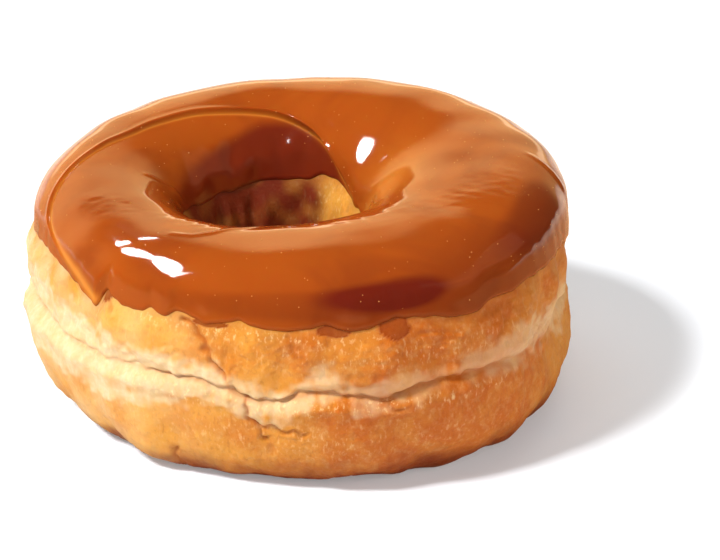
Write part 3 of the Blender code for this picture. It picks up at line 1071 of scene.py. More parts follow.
    # Patches where glints are painted on the skin: each one's share, azimuth, reach in degrees,
    # height and reach in height
    glints: tuple[tuple[float, float, float, float, float], ...] = (
        (0.9, 257.0, 9.0, 26.6 * MM, 0.8 * MM),
        (0.6, 240.0, 6.0, 26.6 * MM, 0.8 * MM),
        (0.5, 275.0, 12.0, 26.4 * MM, 0.7 * MM),
        (0.7, 262.0, 22.0, 15.6 * MM, 1.2 * MM),
        (0.8, 243.0, 12.0, 16.4 * MM, 1.2 * MM),
        (0.5, 300.0, 25.0, 15.6 * MM, 1.0 * MM),
        (0.6, 215.0, 18.0, 17.5 * MM, 1.2 * MM),
        (0.35, 290.0, 40.0, 23.5 * MM, 2.5 * MM),
        (0.3, 270.0, 50.0, 10.0 * MM, 3.5 * MM),
        (0.5, 62.0, 14.0, 24.0 * MM, 6.0 * MM),
        (0.4, 20.0, 30.0, 16.0 * MM, 1.2 * MM),
        (0.4, 100.0, 40.0, 16.0 * MM, 1.2 * MM),
        (0.4, 170.0, 25.0, 16.5 * MM, 1.2 * MM),
    )

    def crease_depth(self, azimuth: Array, height: Array, place: Array) -> Array:
        """Works out how deep the short creases of the outer wall are.

        Args:
            azimuth: Angles in radians.
            height: Heights of the plain wall.
            place: Points of the plain wall.

        Returns:
            The depth at each point.
        """
        depth = np.zeros_like(azimuth)
        sideways = self.crease_sideways.at(place)
        upwards = self.crease_upwards.at(place)
        for size, path in self.creases:
            nearest = np.full_like(azimuth, np.inf)
            for (first, low), (second, high) in zip(path, path[1:]):
                across = np.radians(turned(azimuth, first)) * self.form.radius + sideways
                up = height - low * MM + upwards
                run = np.radians(second - first) * self.form.radius
                rise = (high - low) * MM
                share = np.clip((across * run + up * rise) / (run**2 + rise**2), 0.0, 1.0)
                nearest = np.minimum(nearest, np.hypot(across - share * run, up - share * rise))
            depth += size * bell(nearest / self.crease_reach)
        return depth

    def wall_relief(self, azimuth: Array, height: Array, place: Array) -> Array:
        """Works out the fold, waist, shelf, lumps and creases of the outer wall.

        Args:
            azimuth: Angles in radians.
            height: Heights of the plain wall.
            place: Points of the plain wall.

        Returns:
            How far each point stands out.
        """
        above = height - self.form.seam_height(azimuth)
        wander = above + added(self.seam_wander, place)
        fold = self.fold_depth * along(azimuth, self.fold_share)
        fold = fold * (1.0 + self.fold_variety.at(place))
        reach = np.where(wander > 0, self.lip_reach, self.fold_reach)
        upper = waves(azimuth, self.upper_lumps) * ease((above - self.fold_reach) / self.lump_fade)
        lower = waves(azimuth, self.lower_lumps) * ease((-above - self.fold_reach) / self.lump_fade)
        relief = upper + lower * ease(height / self.foot_fade)
        relief -= self.waist_depth * bell(above / self.waist_reach)
        relief -= fold * bell(wander / reach)
        relief += self.lip * bell((wander - self.lip_rise) / self.lip_rise)
        shelf = self.shelf * (1.0 - dips(azimuth, self.shelf_fades))
        relief += shelf * bell((above + self.shelf_drop) / self.shelf_reach)
        for size, where, turn, level, rise in self.swells:
            relief += size * bell(turned(azimuth, where) / turn) * bell((height - level) / rise)
        return relief + self.skin_relief(above, place) - self.crease_depth(azimuth, height, place)

    def skin_relief(self, above: Array, place: Array) -> Array:
        """Works out the pillows, pleats, stretch marks and pebbles of the skin.

        Args:
            above: Heights above the seam.
            place: Points of the plain wall.

        Returns:
            How far each point stands out.
        """
        over, under = ease(above / self.skin_fade), ease(-above / self.skin_fade)
        relief = (over + self.pillow_below * under) * self.pillows.at(place)
        pleats = bell(self.pleat_lines.at(place) / self.pleat_width)
        pleats = pleats * ease(self.pleat_cover + self.pleat_places.at(place))
        relief -= self.pleat * (over + self.pleat_below * under) * pleats
        marks = sum(
            share * bell((above - level) / reach) for share, level, reach in self.marked_bands
        )
        relief += marks * self.stretch_marks.at(place)
        relief += (1.0 + over) * self.grain.at(place)
        patches = ease(self.grain_cover + self.grain_places.at(place)) * (self.grain_below + over)
        return relief + patches * self.fine_grain.at(place)

    def rows(self, turn: Array) -> Array:
        """Places the rows at each column, closer together at the seam.

        Args:
            turn: The columns' azimuths.

        Returns:
            Ways from the glaze's hem over the covered top, the hole and the underside back to it.
        """
        form = self.form
        flat_from, flat_to = (np.full_like(turn, way) for way in form.flat_ways())
        rim = form.outer_way(turn, form.outer_rim_height(turn))
        inner_rim = form.inner_way(turn, form.inner_rim_height(turn))
        seam = form.outer_way(turn, form.seam_height(turn)) + 4.0
        return joined_rows(
            (
                (rim, inner_rim, steps(self.covered_rows)),
                (inner_rim, flat_from, steps(self.hole_rows)),
                (flat_from, flat_to, steps(self.underside_rows)),
                (flat_to, seam, 1.0 - (1.0 - steps(self.lower_rows)) ** self.seam_crowding),
                (seam, rim + 4.0, steps(self.upper_rows) ** self.seam_crowding),
            )
        )

    def grid(self) -> Grid:
        """Works out the crust's points and masks.

        Returns:
            The grid of the whole skin.
        """
        form = self.form
        turn = form.columns(self.columns)
        flat_from, flat_to = form.flat_ways()
        rim = form.outer_way(turn, form.outer_rim_height(turn))
        inner_rim = form.inner_way(turn, form.inner_rim_height(turn))
        way = np.mod(self.rows(turn), 4.0)
        azimuth = np.repeat(turn[:, None], way.shape[1], axis=1)
        plain = form.point(azimuth, way)
        height = form.section(azimuth, way)[1]
        hole_start, hole_end = self.hole_ways
        from_wall = np.where(way > hole_end, way - 4.0, way)
        wall = self.wall_relief(azimuth, height, plain)
        wall = wall * ease((from_wall + 4.0 - flat_to) / self.wall_foot_fade)
        hem_fade = np.where(wall > 0, self.lump_hem_fade, self.hollow_hem_fade)
        wall = wall * ease((rim[:, None] + self.hem_overlap - from_wall) / hem_fade)
        inside = waves(azimuth, self.hole_lumps) + added(self.hole_relief, plain)
        covered = way - inner_rim[:, None] - self.hole_margin
        inside = inside * ease(covered / self.hole_rim_fade)
        inside = inside * ease((flat_from - way) / self.hole_foot_fade)
        in_hole = (way > hole_start) & (way < hole_end)
        relief = np.where(in_hole, inside, wall)
        point = plain + form.outward(azimuth, way) * relief[..., None]
        point[..., 2] = np.maximum(point[..., 2], 0.0)
        return Grid(point + np.array(form.axis), self.masks(azimuth, height, plain, in_hole))

    def masks(
        self, azimuth: Array, height: Array, plain: Array, in_hole: Array
    ) -> dict[Mask, Array]:
        """Works out where the crust is pale, toasted or stained, and where light, shade and glints
        are painted on it.

        Args:
            azimuth: Angles in radians.
            height: Heights of the plain wall.
            plain: Points of the plain ring.
            in_hole: True in the hole.

        Returns:
            Each mask's values from 0 to 1.
        """
        outside = ~in_hole
        above = height - self.form.seam_height(azimuth)
        ragged = added(self.ragged_edges, plain)
        brow = ease((height - self.brow_from + self.brow_ragged * ragged) / self.brow_softness)
        toasted = along(azimuth, self.toast_height) * MM - height + self.toast_ragged * ragged
        toast = ease(toasted / self.toast_softness) + self.brow_share * brow
        # The seam's fold and the creases are painted darker, as shade
        fold = bell((above + self.fold_shade_drop) / self.fold_shade_reach)
        fold = fold * along(azimuth, self.fold_share)
        crease_shadow = self.crease_depth(azimuth, height, plain) / MM
        crease = (self.fold_shade * fold + self.crease_shade * crease_shadow) * outside
        # The dough in the hole is painted dark with shade, except where light reaches in
        hole_shade = along(azimuth, self.hole_shade_shares) + self.hole_shade_blotches.at(plain)
        glint = sum(
            share * bell(turned(azimuth, where) / turn) * bell((height - level) / rise)
            for share, where, turn, level, rise in self.glints
        )
        window, reach = self.glint_in_hole
        glint = glint * (outside | (np.abs(turned(azimuth, window)) < reach))
        return {
            Mask.PALE: np.clip(self.pale_share(azimuth, above, ragged, plain) * outside, 0, 1),
            Mask.TOAST: np.clip(toast * outside, 0, 1),
            Mask.CREASE: np.clip(crease, 0, self.deepest_shade),
            Mask.HOLE: in_hole * np.clip(hole_shade, 0, 1),
            Mask.WARM: along(azimuth, self.shaded_side_warmth) * outside,
            Mask.STAIN: self.stain_share(azimuth, height, plain) * outside,
            Mask.GLINT: np.clip(glint + self.glint_everywhere, 0, 1),
        }

    def pale_share(self, azimuth: Array, above: Array, ragged: Array, plain: Array) -> Array:
        """Works out how pale the outer wall is: the band at the seam, and painted light on the side
        facing the main lamp.

        Args:
            azimuth: Angles in radians.
            above: Heights above the seam.
            ragged: How far the band's edges wander.
            plain: Points of the plain ring.

        Returns:
            The share of pale crumb at each point.
        """
        below_edge = along(azimuth, self.band_below) * MM + above + ragged
        above_edge = along(azimuth, self.band_above) * MM - above + ragged
        band = ease(below_edge / self.band_softness + 0.5)
        band = band * ease(above_edge / self.band_softness + 0.5)
        band = band * along(azimuth, self.paleness) * (1.0 + self.pale_blotches.at(plain))
        # Painted light on the side facing the main lamp
        lit_side = along(azimuth, self.lit_side_paleness) * (1.0 + self.lit_side_blotches.at(plain))
        return np.maximum(band, lit_side)

    def stain_share(self, azimuth: Array, height: Array, plain: Array) -> Array:
        """Works out where a film of glaze stains the crust, most at the film's rim.

        Args:
            azimuth: Angles in radians.
            height: Heights of the plain wall.
            plain: Points of the plain ring.

        Returns:
            The share of glaze at each point.
        """
        stain = np.zeros_like(azimuth)
        for where, level, turn, rise in self.stains:
            off = np.hypot(turned(azimuth, where) / turn, (height - level) / rise)
            off = off + self.stain_outline.at(plain)
            rim = bell((off - self.stain_rim) / self.stain_rim_reach)
            film = self.stain_body + (1.0 - self.stain_body) * rim
            stain = np.maximum(stain, ease((self.stain_edge - off) / self.stain_softness) * film)
        return stain

    def build(self, material: bpy.types.Material) -> bpy.types.Object:
        """Builds and dresses the crust.

        Args:
            material: The crust's finish.

        Returns:
            The piece that stands for the dough's solid.
        """
        mesh = self.grid().mesh("crust")
        mesh.materials.append(material)
        made = piece("fried_ring", mesh)
        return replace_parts(made, "dough_ring")


@dataclass
class Icing:
    """The coat of glaze, with its ledge, its scalloped hems and its drawn-out drip."""

    form: RingForm
    columns: int = 480
    band_rows: int = 78
    step_rows: int = 18
    basin_rows: int = 96
    lining_rows: int = 12
    step_width: float = 0.045
    ledge_margin: float = 0.06
    stand_off: float = 0.2 * MM
    thickness: float = 1.45 * MM
    hole_thinning: float = 0.4
    thinning_from: float = 1.15
    thinning_reach: float = 0.4
    bedding: float = 0.12 * MM
    lip_rounding: float = 0.025
    lip_share: float = 0.2
    hem_swell: float = 0.16
    hem_fine: Ripple = Ripple(0.08 * MM, 3.0 * MM, 31)
    hem_slow: Ripple = Ripple(0.15 * MM, 9.0 * MM, 35)
    band_crowding: float = 0.8
    basin_crowding: float = 0.9
    lining_ends: tuple[float, float] = (0.99, 0.01)
    # From the drip at the left back over the crest and round into the hole
    ledge_path: Stops = (
        (225.0, 0.30), (214.0, 0.41), (202.0, 0.50), (191.0, 0.59), (183.0, 0.71), (172.0, 0.91),
        (155.0, 1.08), (128.0, 1.17), (99.0, 1.30), (76.0, 1.46), (60.0, 1.61), (36.0, 1.72),
        (12.0, 1.72),
    )
    ledge_smoothing: float = 4.0
    ledge_samples: int = 7
    ledge_height: float = 0.85 * MM
    ledge_surges: Dips = ((0.6, 68.0, 26.0), (-0.5, 190.0, 40.0))
    ledge_face: float = 0.024
    ledge_bead: float = 0.22
    bead_reach: float = 0.014
    ledge_back: float = 0.42
    ledge_presence: Stops = ((18.0, 0.0), (52.0, 1.0), (222.5, 1.0), (228.5, 0.0), (359.9, 0.0))
    swells: Ripple = Ripple(0.06 * MM, 9.0 * MM, 33)
    calms: Dips = ((0.95, 45.0, 42.0),)
    calm_from: float = 1.0
    calm_reach: float = 0.25
    drapes: Ripple = Ripple(0.22 * MM, 5.0 * MM, 34, (1.0, 1.0, 0.6))
    draped: Dips = ((1.0, 118.0, 42.0),)
    drape_from: float = 1.3
    drape_reach: float = 0.25
    shivers: Ripple = Ripple(0.02 * MM, 1.5 * MM, 36, (0.4, 1.0, 1.0))
    # Each ruffled patch's azimuth and reach in degrees, then its way and reach in ways
    ruffles: tuple[tuple[float, float, float, float], ...] = (
        (199.0, 9.0, 0.87, 0.09),
        (211.0, 9.0, 1.05, 0.08),
        (232.0, 14.0, 1.15, 0.05),
        (296.0, 13.0, 1.18, 0.05),
        (314.0, 11.0, 1.12, 0.08),
        (329.0, 10.0, 0.96, 0.09),
        (342.0, 8.0, 0.79, 0.07),
    )
    # Each curl's height and reach, then the azimuths and ways that it runs through
    curls: tuple[tuple[float, float, Stops], ...] = (
        (
            0.3 * MM,
            0.38 * MM,
            ((176.0, 1.30), (174.0, 1.38), (169.5, 1.49), (166.5, 1.60), (161.5, 1.66)),
        ),
        (0.28 * MM, 0.38 * MM, ((176.0, 1.56), (172.0, 1.60), (168.5, 1.65), (159.5, 1.73))),
        (
            0.2 * MM,
            0.5 * MM,
            ((233.0, 0.96), (239.0, 1.0), (243.5, 1.08), (247.0, 1.18), (254.0, 1.29), (268.0, 1.37)),
        ),
        (0.25 * MM, 0.5 * MM, ((2.0, 0.70), (0.5, 0.6), (-1.0, 0.5), (-3.0, 0.42))),
    )
    curl_spots: int = 50
    curl_ends: tuple[float, float] = (0.12, 0.92)
    curl_taper: float = 0.6
    # A glow of light through the glaze, painted in a strip just inside the ledge
    glow_width: float = 0.01
    glow_widening: Dips = ((0.024, 218.0, 12.0),)
    most_glow: float = 0.95
    glow_share: Stops = (
        (40.0, 0.0), (60.0, 0.4), (110.0, 0.6), (150.0, 0.5), (185.0, 0.45), (200.0, 0.55),
        (208.0, 0.85), (222.0, 0.85), (226.0, 0.0),
    )
    # A patch of painted light by the hole: share, azimuth, reach in degrees, way and reach in ways
    painted_light_patch: tuple[float, float, float, float, float] = (0.62, -3.0, 27.0, 1.5, 0.2)
    hollow_softness: float = 0.1
    # Way from which the glaze in the hole is painted dark, as shade, and how dark
    hollow_from: Stops = (
        (60.0, 1.56), (76.0, 1.42), (93.0, 1.3), (105.0, 1.29), (120.0, 1.35), (135.0, 1.4),
        (150.0, 1.44), (165.0, 1.5), (180.0, 1.6),
    )
    hollow_share: Stops = (
        (45.0, 0.0), (62.0, 0.85), (100.0, 0.93), (150.0, 0.8), (170.0, 0.5), (190.0, 0.0),
        (360.0, 0.0),
    )
    # Each painted dark reflection's share, azimuth, reach before and beyond it in degrees, way and
    # reach in ways
    dark_reflections: tuple[tuple[float, float, float, float, float, float], ...] = (
        (0.6, 293.5, 17.0, 9.0, 0.525, 0.07),
        (0.24, 284.0, 42.0, 18.0, 0.5, 0.07),
        (0.45, 341.0, 22.0, 10.0, 0.58, 0.12),
    )
    dark_reflection_edge: float = 1.3
    dark_reflection_softness: float = 0.6
    # Painted shade low on the right front of the glaze
    outer_shade: Dips = ((0.45, 315.0, 50.0),)
    outer_shade_to: float = 0.8
    outer_shade_softness: float = 0.35
    froth_margin: float = 0.1

    def ledge_way(self, azimuth: Array) -> Array:
        """Follows the ledge round the ring, with the corners of its path rounded off.

        Args:
            azimuth: Angles in radians.

        Returns:
            The way at which the ledge crosses each angle.
        """
        places, ways = zip(*reversed(self.ledge_path))
        degrees = np.degrees(azimuth) % 360.0
        shifts = np.linspace(-self.ledge_smoothing, self.ledge_smoothing, self.ledge_samples)
        crossings = (np.interp(degrees + shift, places, ways, period=360.0) for shift in shifts)
        return sum(crossings) / self.ledge_samples

    def ledge(self, azimuth: Array, way: Array) -> Array:
        """Works out the extra thickness outside the ledge, gone a little way behind it.

        Args:
            azimuth: Angles in radians.
            way: Quarter turns round the section.

        Returns:
            The extra thickness at each point.
        """
        outside = self.ledge_way(azimuth) - way
        rise = ease(outside / self.ledge_face + 0.5)
        bead = 1.0 + self.ledge_bead * bell((outside - self.bead_reach) / self.bead_reach)
        back = bell(np.maximum(outside, 0) / self.ledge_back)
        height = self.ledge_height * (1.0 + dips(azimuth, self.ledge_surges))
        return height * ease(along(azimuth, self.ledge_presence)) * rise * back * bead

    def hems(self, azimuth: Array) -> tuple[Array, Array]:
        """Follows the glaze's two hems round the ring.

        Args:
            azimuth: Angles in radians.

        Returns:
            The ways of the outer hem and of the hem in the hole.
        """
        form = self.form
        circle = np.stack([np.cos(azimuth), np.sin(azimuth), 0 * azimuth], axis=-1) * form.radius
        outer = form.outer_rim_height(azimuth) + self.hem_fine.at(circle)
        inner = form.inner_rim_height(azimuth) + self.hem_slow.at(circle)
        return form.outer_way(azimuth, outer), form.inner_way(azimuth, inner)

    def curl_height(self, plain: Array) -> Array:
        """Works out the small curls and ridges that the glaze dried in.

        Args:
            plain: Points of the plain ring.

        Returns:
            Extra thickness at each point.
        """
        height = np.zeros(plain.shape[:-1])
        taper = np.sin(np.linspace(*self.curl_ends, self.curl_spots) * pi) ** self.curl_taper
        for size, reach, path in self.curls:
            places, ways = zip(*path)
            stops = np.linspace(0, len(path) - 1, self.curl_spots)
            turn = np.radians(np.interp(stops, range(len(path)), places))
            line = self.form.point(turn, np.interp(stops, range(len(path)), ways))
            ridge = np.zeros_like(height)
            for spot, share in zip(line, taper):
                near = np.linalg.norm(plain - spot, axis=-1)
                ridge = np.maximum(ridge, share * bell(near / reach))
            height += size * ridge
        return height

    def thicknesses(self, azimuth: Array, way: Array, plain: Array) -> Array:
        """Works out the thickness of the glaze away from its hems.

        Args:
            azimuth: Angles in radians.
            way: Quarter turns round the section.
            plain: Points of the plain ring.

        Returns:
            The thickness at each point.
        """
        thinning = self.hole_thinning * ease((way - self.thinning_from) / self.thinning_reach)
        full = self.thickness * (1.0 - thinning)
        full = full + self.ledge(azimuth, way) + self.curl_height(plain)
        calm = 1.0 - dips(azimuth, self.calms) * ease((way - self.calm_from) / self.calm_reach)
        full = full + calm * self.swells.at(plain)
        draped = dips(azimuth, self.draped) * ease((way - self.drape_from) / self.drape_reach)
        full = full + draped * self.drapes.at(plain)
        ruffled = sum(
            bell(turned(azimuth, where) / turn) * bell((way - level) / rise)
            for where, turn, level, rise in self.ruffles
        )
        return full + ruffled * self.shivers.at(plain)

    def rows(self, turn: Array, first: Array, last: Array) -> Array:
        """Places the rows at each column, some of which run along the ledge.

        Args:
            turn: The columns' azimuths.
            first: The way of the outer hem at each column.
            last: The way of the hem in the hole.

        Returns:
            Ways from the outer hem over the ledge to the hole, then back along the lining.
        """
        margin = self.ledge_margin
        middle = np.clip(self.ledge_way(turn), first + margin, last - margin)
        low, high = middle - self.step_width / 2, middle + self.step_width / 2
        to_last = np.linspace(0.0, 1.0, self.basin_rows)
        return joined_rows(
            (
                (first, low, 1.0 - (1.0 - steps(self.band_rows)) ** self.band_crowding),
                (low, high, steps(self.step_rows)),
                (high, last, to_last**self.basin_crowding),
                (first, last, np.linspace(*self.lining_ends, self.lining_rows)),
            )
        )

    def grid(self) -> Grid:
        """Works out the glaze's points and masks.

        Returns:
            The grid of the face from hem to hem and of the lining under it.
        """
        form = self.form
        turn = form.columns(self.columns)
        first, last = self.hems(turn)
        way = self.rows(turn, first, last)
        azimuth = np.repeat(turn[:, None], way.shape[1], axis=1)
        plain = form.point(azimuth, way)
        near_hem = np.minimum(way - first[:, None], last[:, None] - way)
        lip = np.sqrt(1.0 - (1.0 - np.clip(near_hem / self.lip_rounding, 0.0, 1.0)) ** 2)
        risen = self.lip_share * lip + (1.0 - self.lip_share) * ease(near_hem / self.hem_swell)
        full = self.thicknesses(azimuth, way, plain)
        face = (self.stand_off + self.bedding) * lip - self.bedding + full * risen
        on_face = np.arange(way.shape[1]) < way.shape[1] - self.lining_rows
        offset = np.where(on_face, face, -self.bedding)
        point = plain + form.outward(azimuth, way) * offset[..., None]
        return Grid(point + np.array(form.axis), self.masks(azimuth, way, near_hem, on_face))

    def masks(
        self, azimuth: Array, way: Array, near_hem: Array, on_face: Array
    ) -> dict[Mask, Array]:
        """Works out where shade, dark reflections and a glow of light are painted on the glaze, and
        where it froths.

        Args:
            azimuth: Angles in radians.
            way: Quarter turns round the section.
            near_hem: Distance from the nearer hem, in quarter turns.
            on_face: True on the rows of the face.

        Returns:
            Each mask's values from 0 to 1.
        """
        inside = way - self.ledge_way(azimuth)
        width = self.glow_width + dips(azimuth, self.glow_widening)
        glow = along(azimuth, self.glow_share) * bell((inside - width) / width)
        share, where, turn, level, rise = self.painted_light_patch
        glow = glow + share * bell(turned(azimuth, where) / turn) * bell((way - level) / rise)
        # Painted shade and dark reflections darken the glaze
        depth = ease((self.outer_shade_to - way) / self.outer_shade_softness)
        depth = depth * dips(azimuth, self.outer_shade)
        hole_wall_shade = ease((way - along(azimuth, self.hollow_from)) / self.hollow_softness)
        depth = depth + hole_wall_shade * along(azimuth, self.hollow_share)
        for share, where, before, beyond, level, rise in self.dark_reflections:
            across = turned(azimuth, where)
            off = np.hypot(across / np.where(across < 0, before, beyond), (way - level) / rise)
            depth = depth + share * ease((self.dark_reflection_edge - off) / self.dark_reflection_softness)
        return {
            Mask.DEPTH: np.clip(depth, 0, 1),
            Mask.GLOW: np.clip(glow, 0, self.most_glow),
            Mask.SPECKS: on_face * ease(near_hem / self.froth_margin),
        }

    def build(self, material: bpy.types.Material) -> bpy.types.Object:
        """Builds and dresses the glaze.

        Args:
            material: The glaze's finish.

        Returns:
            The piece that stands for the glaze's solid.
        """
        mesh = self.grid().mesh("icing")
        mesh.materials.append(material)
        made = piece("glaze_coat", mesh)
        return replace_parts(made, "maple_glaze")


@dataclass
class Froth:
    """Bubbles set in the skin of the glaze by Geometry Nodes."""

    per_square_metre: float = 50000.0
    smallest: float = 0.04 * MM
    largest: float = 0.11 * MM
    seed: int = 5

    def tree(self, material: bpy.types.Material) -> bpy.types.NodeTree:
        """Makes the tree that scatters bubbles over a surface.

        Args:
            material: The bubbles' finish.

        Returns:
            A tree whose inputs are the surface, the density and the bubbles' radii.
        """
        tree = bpy.data.node_groups.new("froth_bubbles", "GeometryNodeTree")
        face = tree.interface
        face.new_socket("Surface", in_out="INPUT", socket_type="NodeSocketGeometry")
        for name in ("Density", "Smallest", "Largest"):
            face.new_socket(name, in_out="INPUT", socket_type="NodeSocketFloat")
        face.new_socket("Bubbles", in_out="OUTPUT", socket_type="NodeSocketGeometry")
        given = add_node(tree, "NodeGroupInput").outputs
        mask = add_node(
            tree, "GeometryNodeInputNamedAttribute", {"data_type": "FLOAT"}, {0: Mask.SPECKS.value}
        ).outputs[0]
        density = add_node(
            tree, "ShaderNodeMath", {"operation": "MULTIPLY"}, {0: mask, 1: given["Density"]}
        ).outputs[0]
        scattered = add_node(
            tree,
            "GeometryNodeDistributePointsOnFaces",
            {"distribute_method": "RANDOM"},
            {"Mesh": given["Surface"], "Density": density, "Seed": self.seed},
        )
        bubble = add_node(
            tree, "GeometryNodeMeshIcoSphere", {}, {"Radius": 1.0, "Subdivisions": 1}
        ).outputs["Mesh"]
        size = add_node(
            tree,
            "FunctionNodeRandomValue",
            {"data_type": "FLOAT"},
            {2: given["Smallest"], 3: given["Largest"], "Seed": self.seed + 1},
        ).outputs[1]
        placed = add_node(
            tree,
            "GeometryNodeInstanceOnPoints",
            {},
            {"Points": scattered.outputs["Points"], "Instance": bubble, "Scale": size},
        ).outputs["Instances"]
        real = add_node(tree, "GeometryNodeRealizeInstances", {}, {"Geometry": placed})
        dressed = add_node(
            tree,
            "GeometryNodeSetMaterial",
            {},
            {"Geometry": real.outputs["Geometry"], "Material": material},
        )
        add_node(tree, "NodeGroupOutput", {}, {"Bubbles": dressed.outputs["Geometry"]})
        return tree

    def build(self, coat: bpy.types.Object, material: bpy.types.Material) -> bpy.types.Object:
        """Scatters the bubbles and makes them one plain mesh.

        Args:
            coat: The glaze that they sit in.
            material: Their finish.

        Returns:
            The piece.
        """
        tree = self.tree(material)
        guide = bpy.data.objects.new("froth_guide", coat.data)
        bpy.context.scene.collection.objects.link(guide)
        modifier = guide.modifiers.new("froth", "NODES")
        modifier.node_group = tree
        sizes = {
            "Density": self.per_square_metre,
            "Smallest": self.smallest,
            "Largest": self.largest,
        }
        for socket in tree.interface.items_tree:
            if socket.in_out == "INPUT" and socket.name in sizes:
                modifier[socket.identifier] = sizes[socket.name]
        graph = bpy.context.evaluated_depsgraph_get()
        mesh = bpy.data.meshes.new_from_object(guide.evaluated_get(graph), depsgraph=graph)
        mesh.name = "froth"
        bpy.data.objects.remove(guide, do_unlink=True)
        return piece("froth_specks", mesh)


class LampShape(Enum):
    """Outlines of an area lamp."""

    RECTANGLE = "RECTANGLE"
    ELLIPSE = "ELLIPSE"


@dataclass
class Lamp:
    """An area lamp that hangs in some direction from a spot and faces it."""

    name: str
    azimuth: float
    elevation: float
    distance: float
    width: float
    height: float
    watts: float

    def hang(
        self, shape: LampShape, spot: Vector, unit: float = 1.0, roll: float = 0.0
    ) -> bpy.types.Object:
        """Hangs the lamp.

        Args:
            shape: Its outline.
            spot: Where it points, in metres.
            unit: What its lengths are given in.
            roll: Degrees that it is turned about its own beam.

        Returns:
            The lamp, which the camera doesn't see.
        """
        light = bpy.data.lights.new(self.name, "AREA")
        light.shape = shape.value
        light.size, light.size_y = self.width * unit, self.height * unit
        light.energy = self.watts
        lamp = bpy.data.objects.new(self.name, light)
        turn, rise = radians(self.azimuth), radians(self.elevation)
        towards = Vector((cos(turn) * cos(rise), sin(turn) * cos(rise), sin(rise)))
        lamp.location = spot + towards * (self.distance * unit)
        lamp.rotation_mode = "QUATERNION"
        upright = (-towards).to_track_quat("-Z", "Y")
        lamp.rotation_quaternion = upright @ Quaternion((0.0, 0.0, 1.0), radians(roll))
        lamp.visible_camera = False
        bpy.context.scene.collection.objects.link(lamp)
        return lamp


@dataclass
class Softbox(Lamp):
    """A rectangular studio lamp aimed at the middle of the doughnut. Lengths are in metres."""

    colour: str = "#FFFFFF"
    mirrored: bool = True
    lighting: bool = True
    middle: float = 25.0 * MM

    def build(self) -> bpy.types.Object:
        """Hangs the softbox.

        Returns:
            The lamp.
        """
        lamp = self.hang(LampShape.RECTANGLE, Vector((0.0, 0.0, self.middle)))
        lamp.data.color = linear(self.colour)[:3]
        lamp.visible_glossy = self.mirrored
        lamp.visible_diffuse = self.lighting
        return lamp


@dataclass
class Glint(Lamp):
    """A small oval lamp close to the glaze that only shows as a bright spot in its gloss.

    Lengths are in millimetres. Its narrow beam keeps the spot out of the rest of the glaze.
    """

    roll: float
    aim: tuple[float, float, float]
    beam: float = 80.0

    def build(self) -> bpy.types.Object:
        """Hangs the small lamp.

        Returns:
            The lamp.
        """
        lamp = self.hang(LampShape.ELLIPSE, Vector(self.aim) * MM, MM, self.roll)
        lamp.data.spread = radians(self.beam)
        lamp.visible_diffuse = False
        return lamp


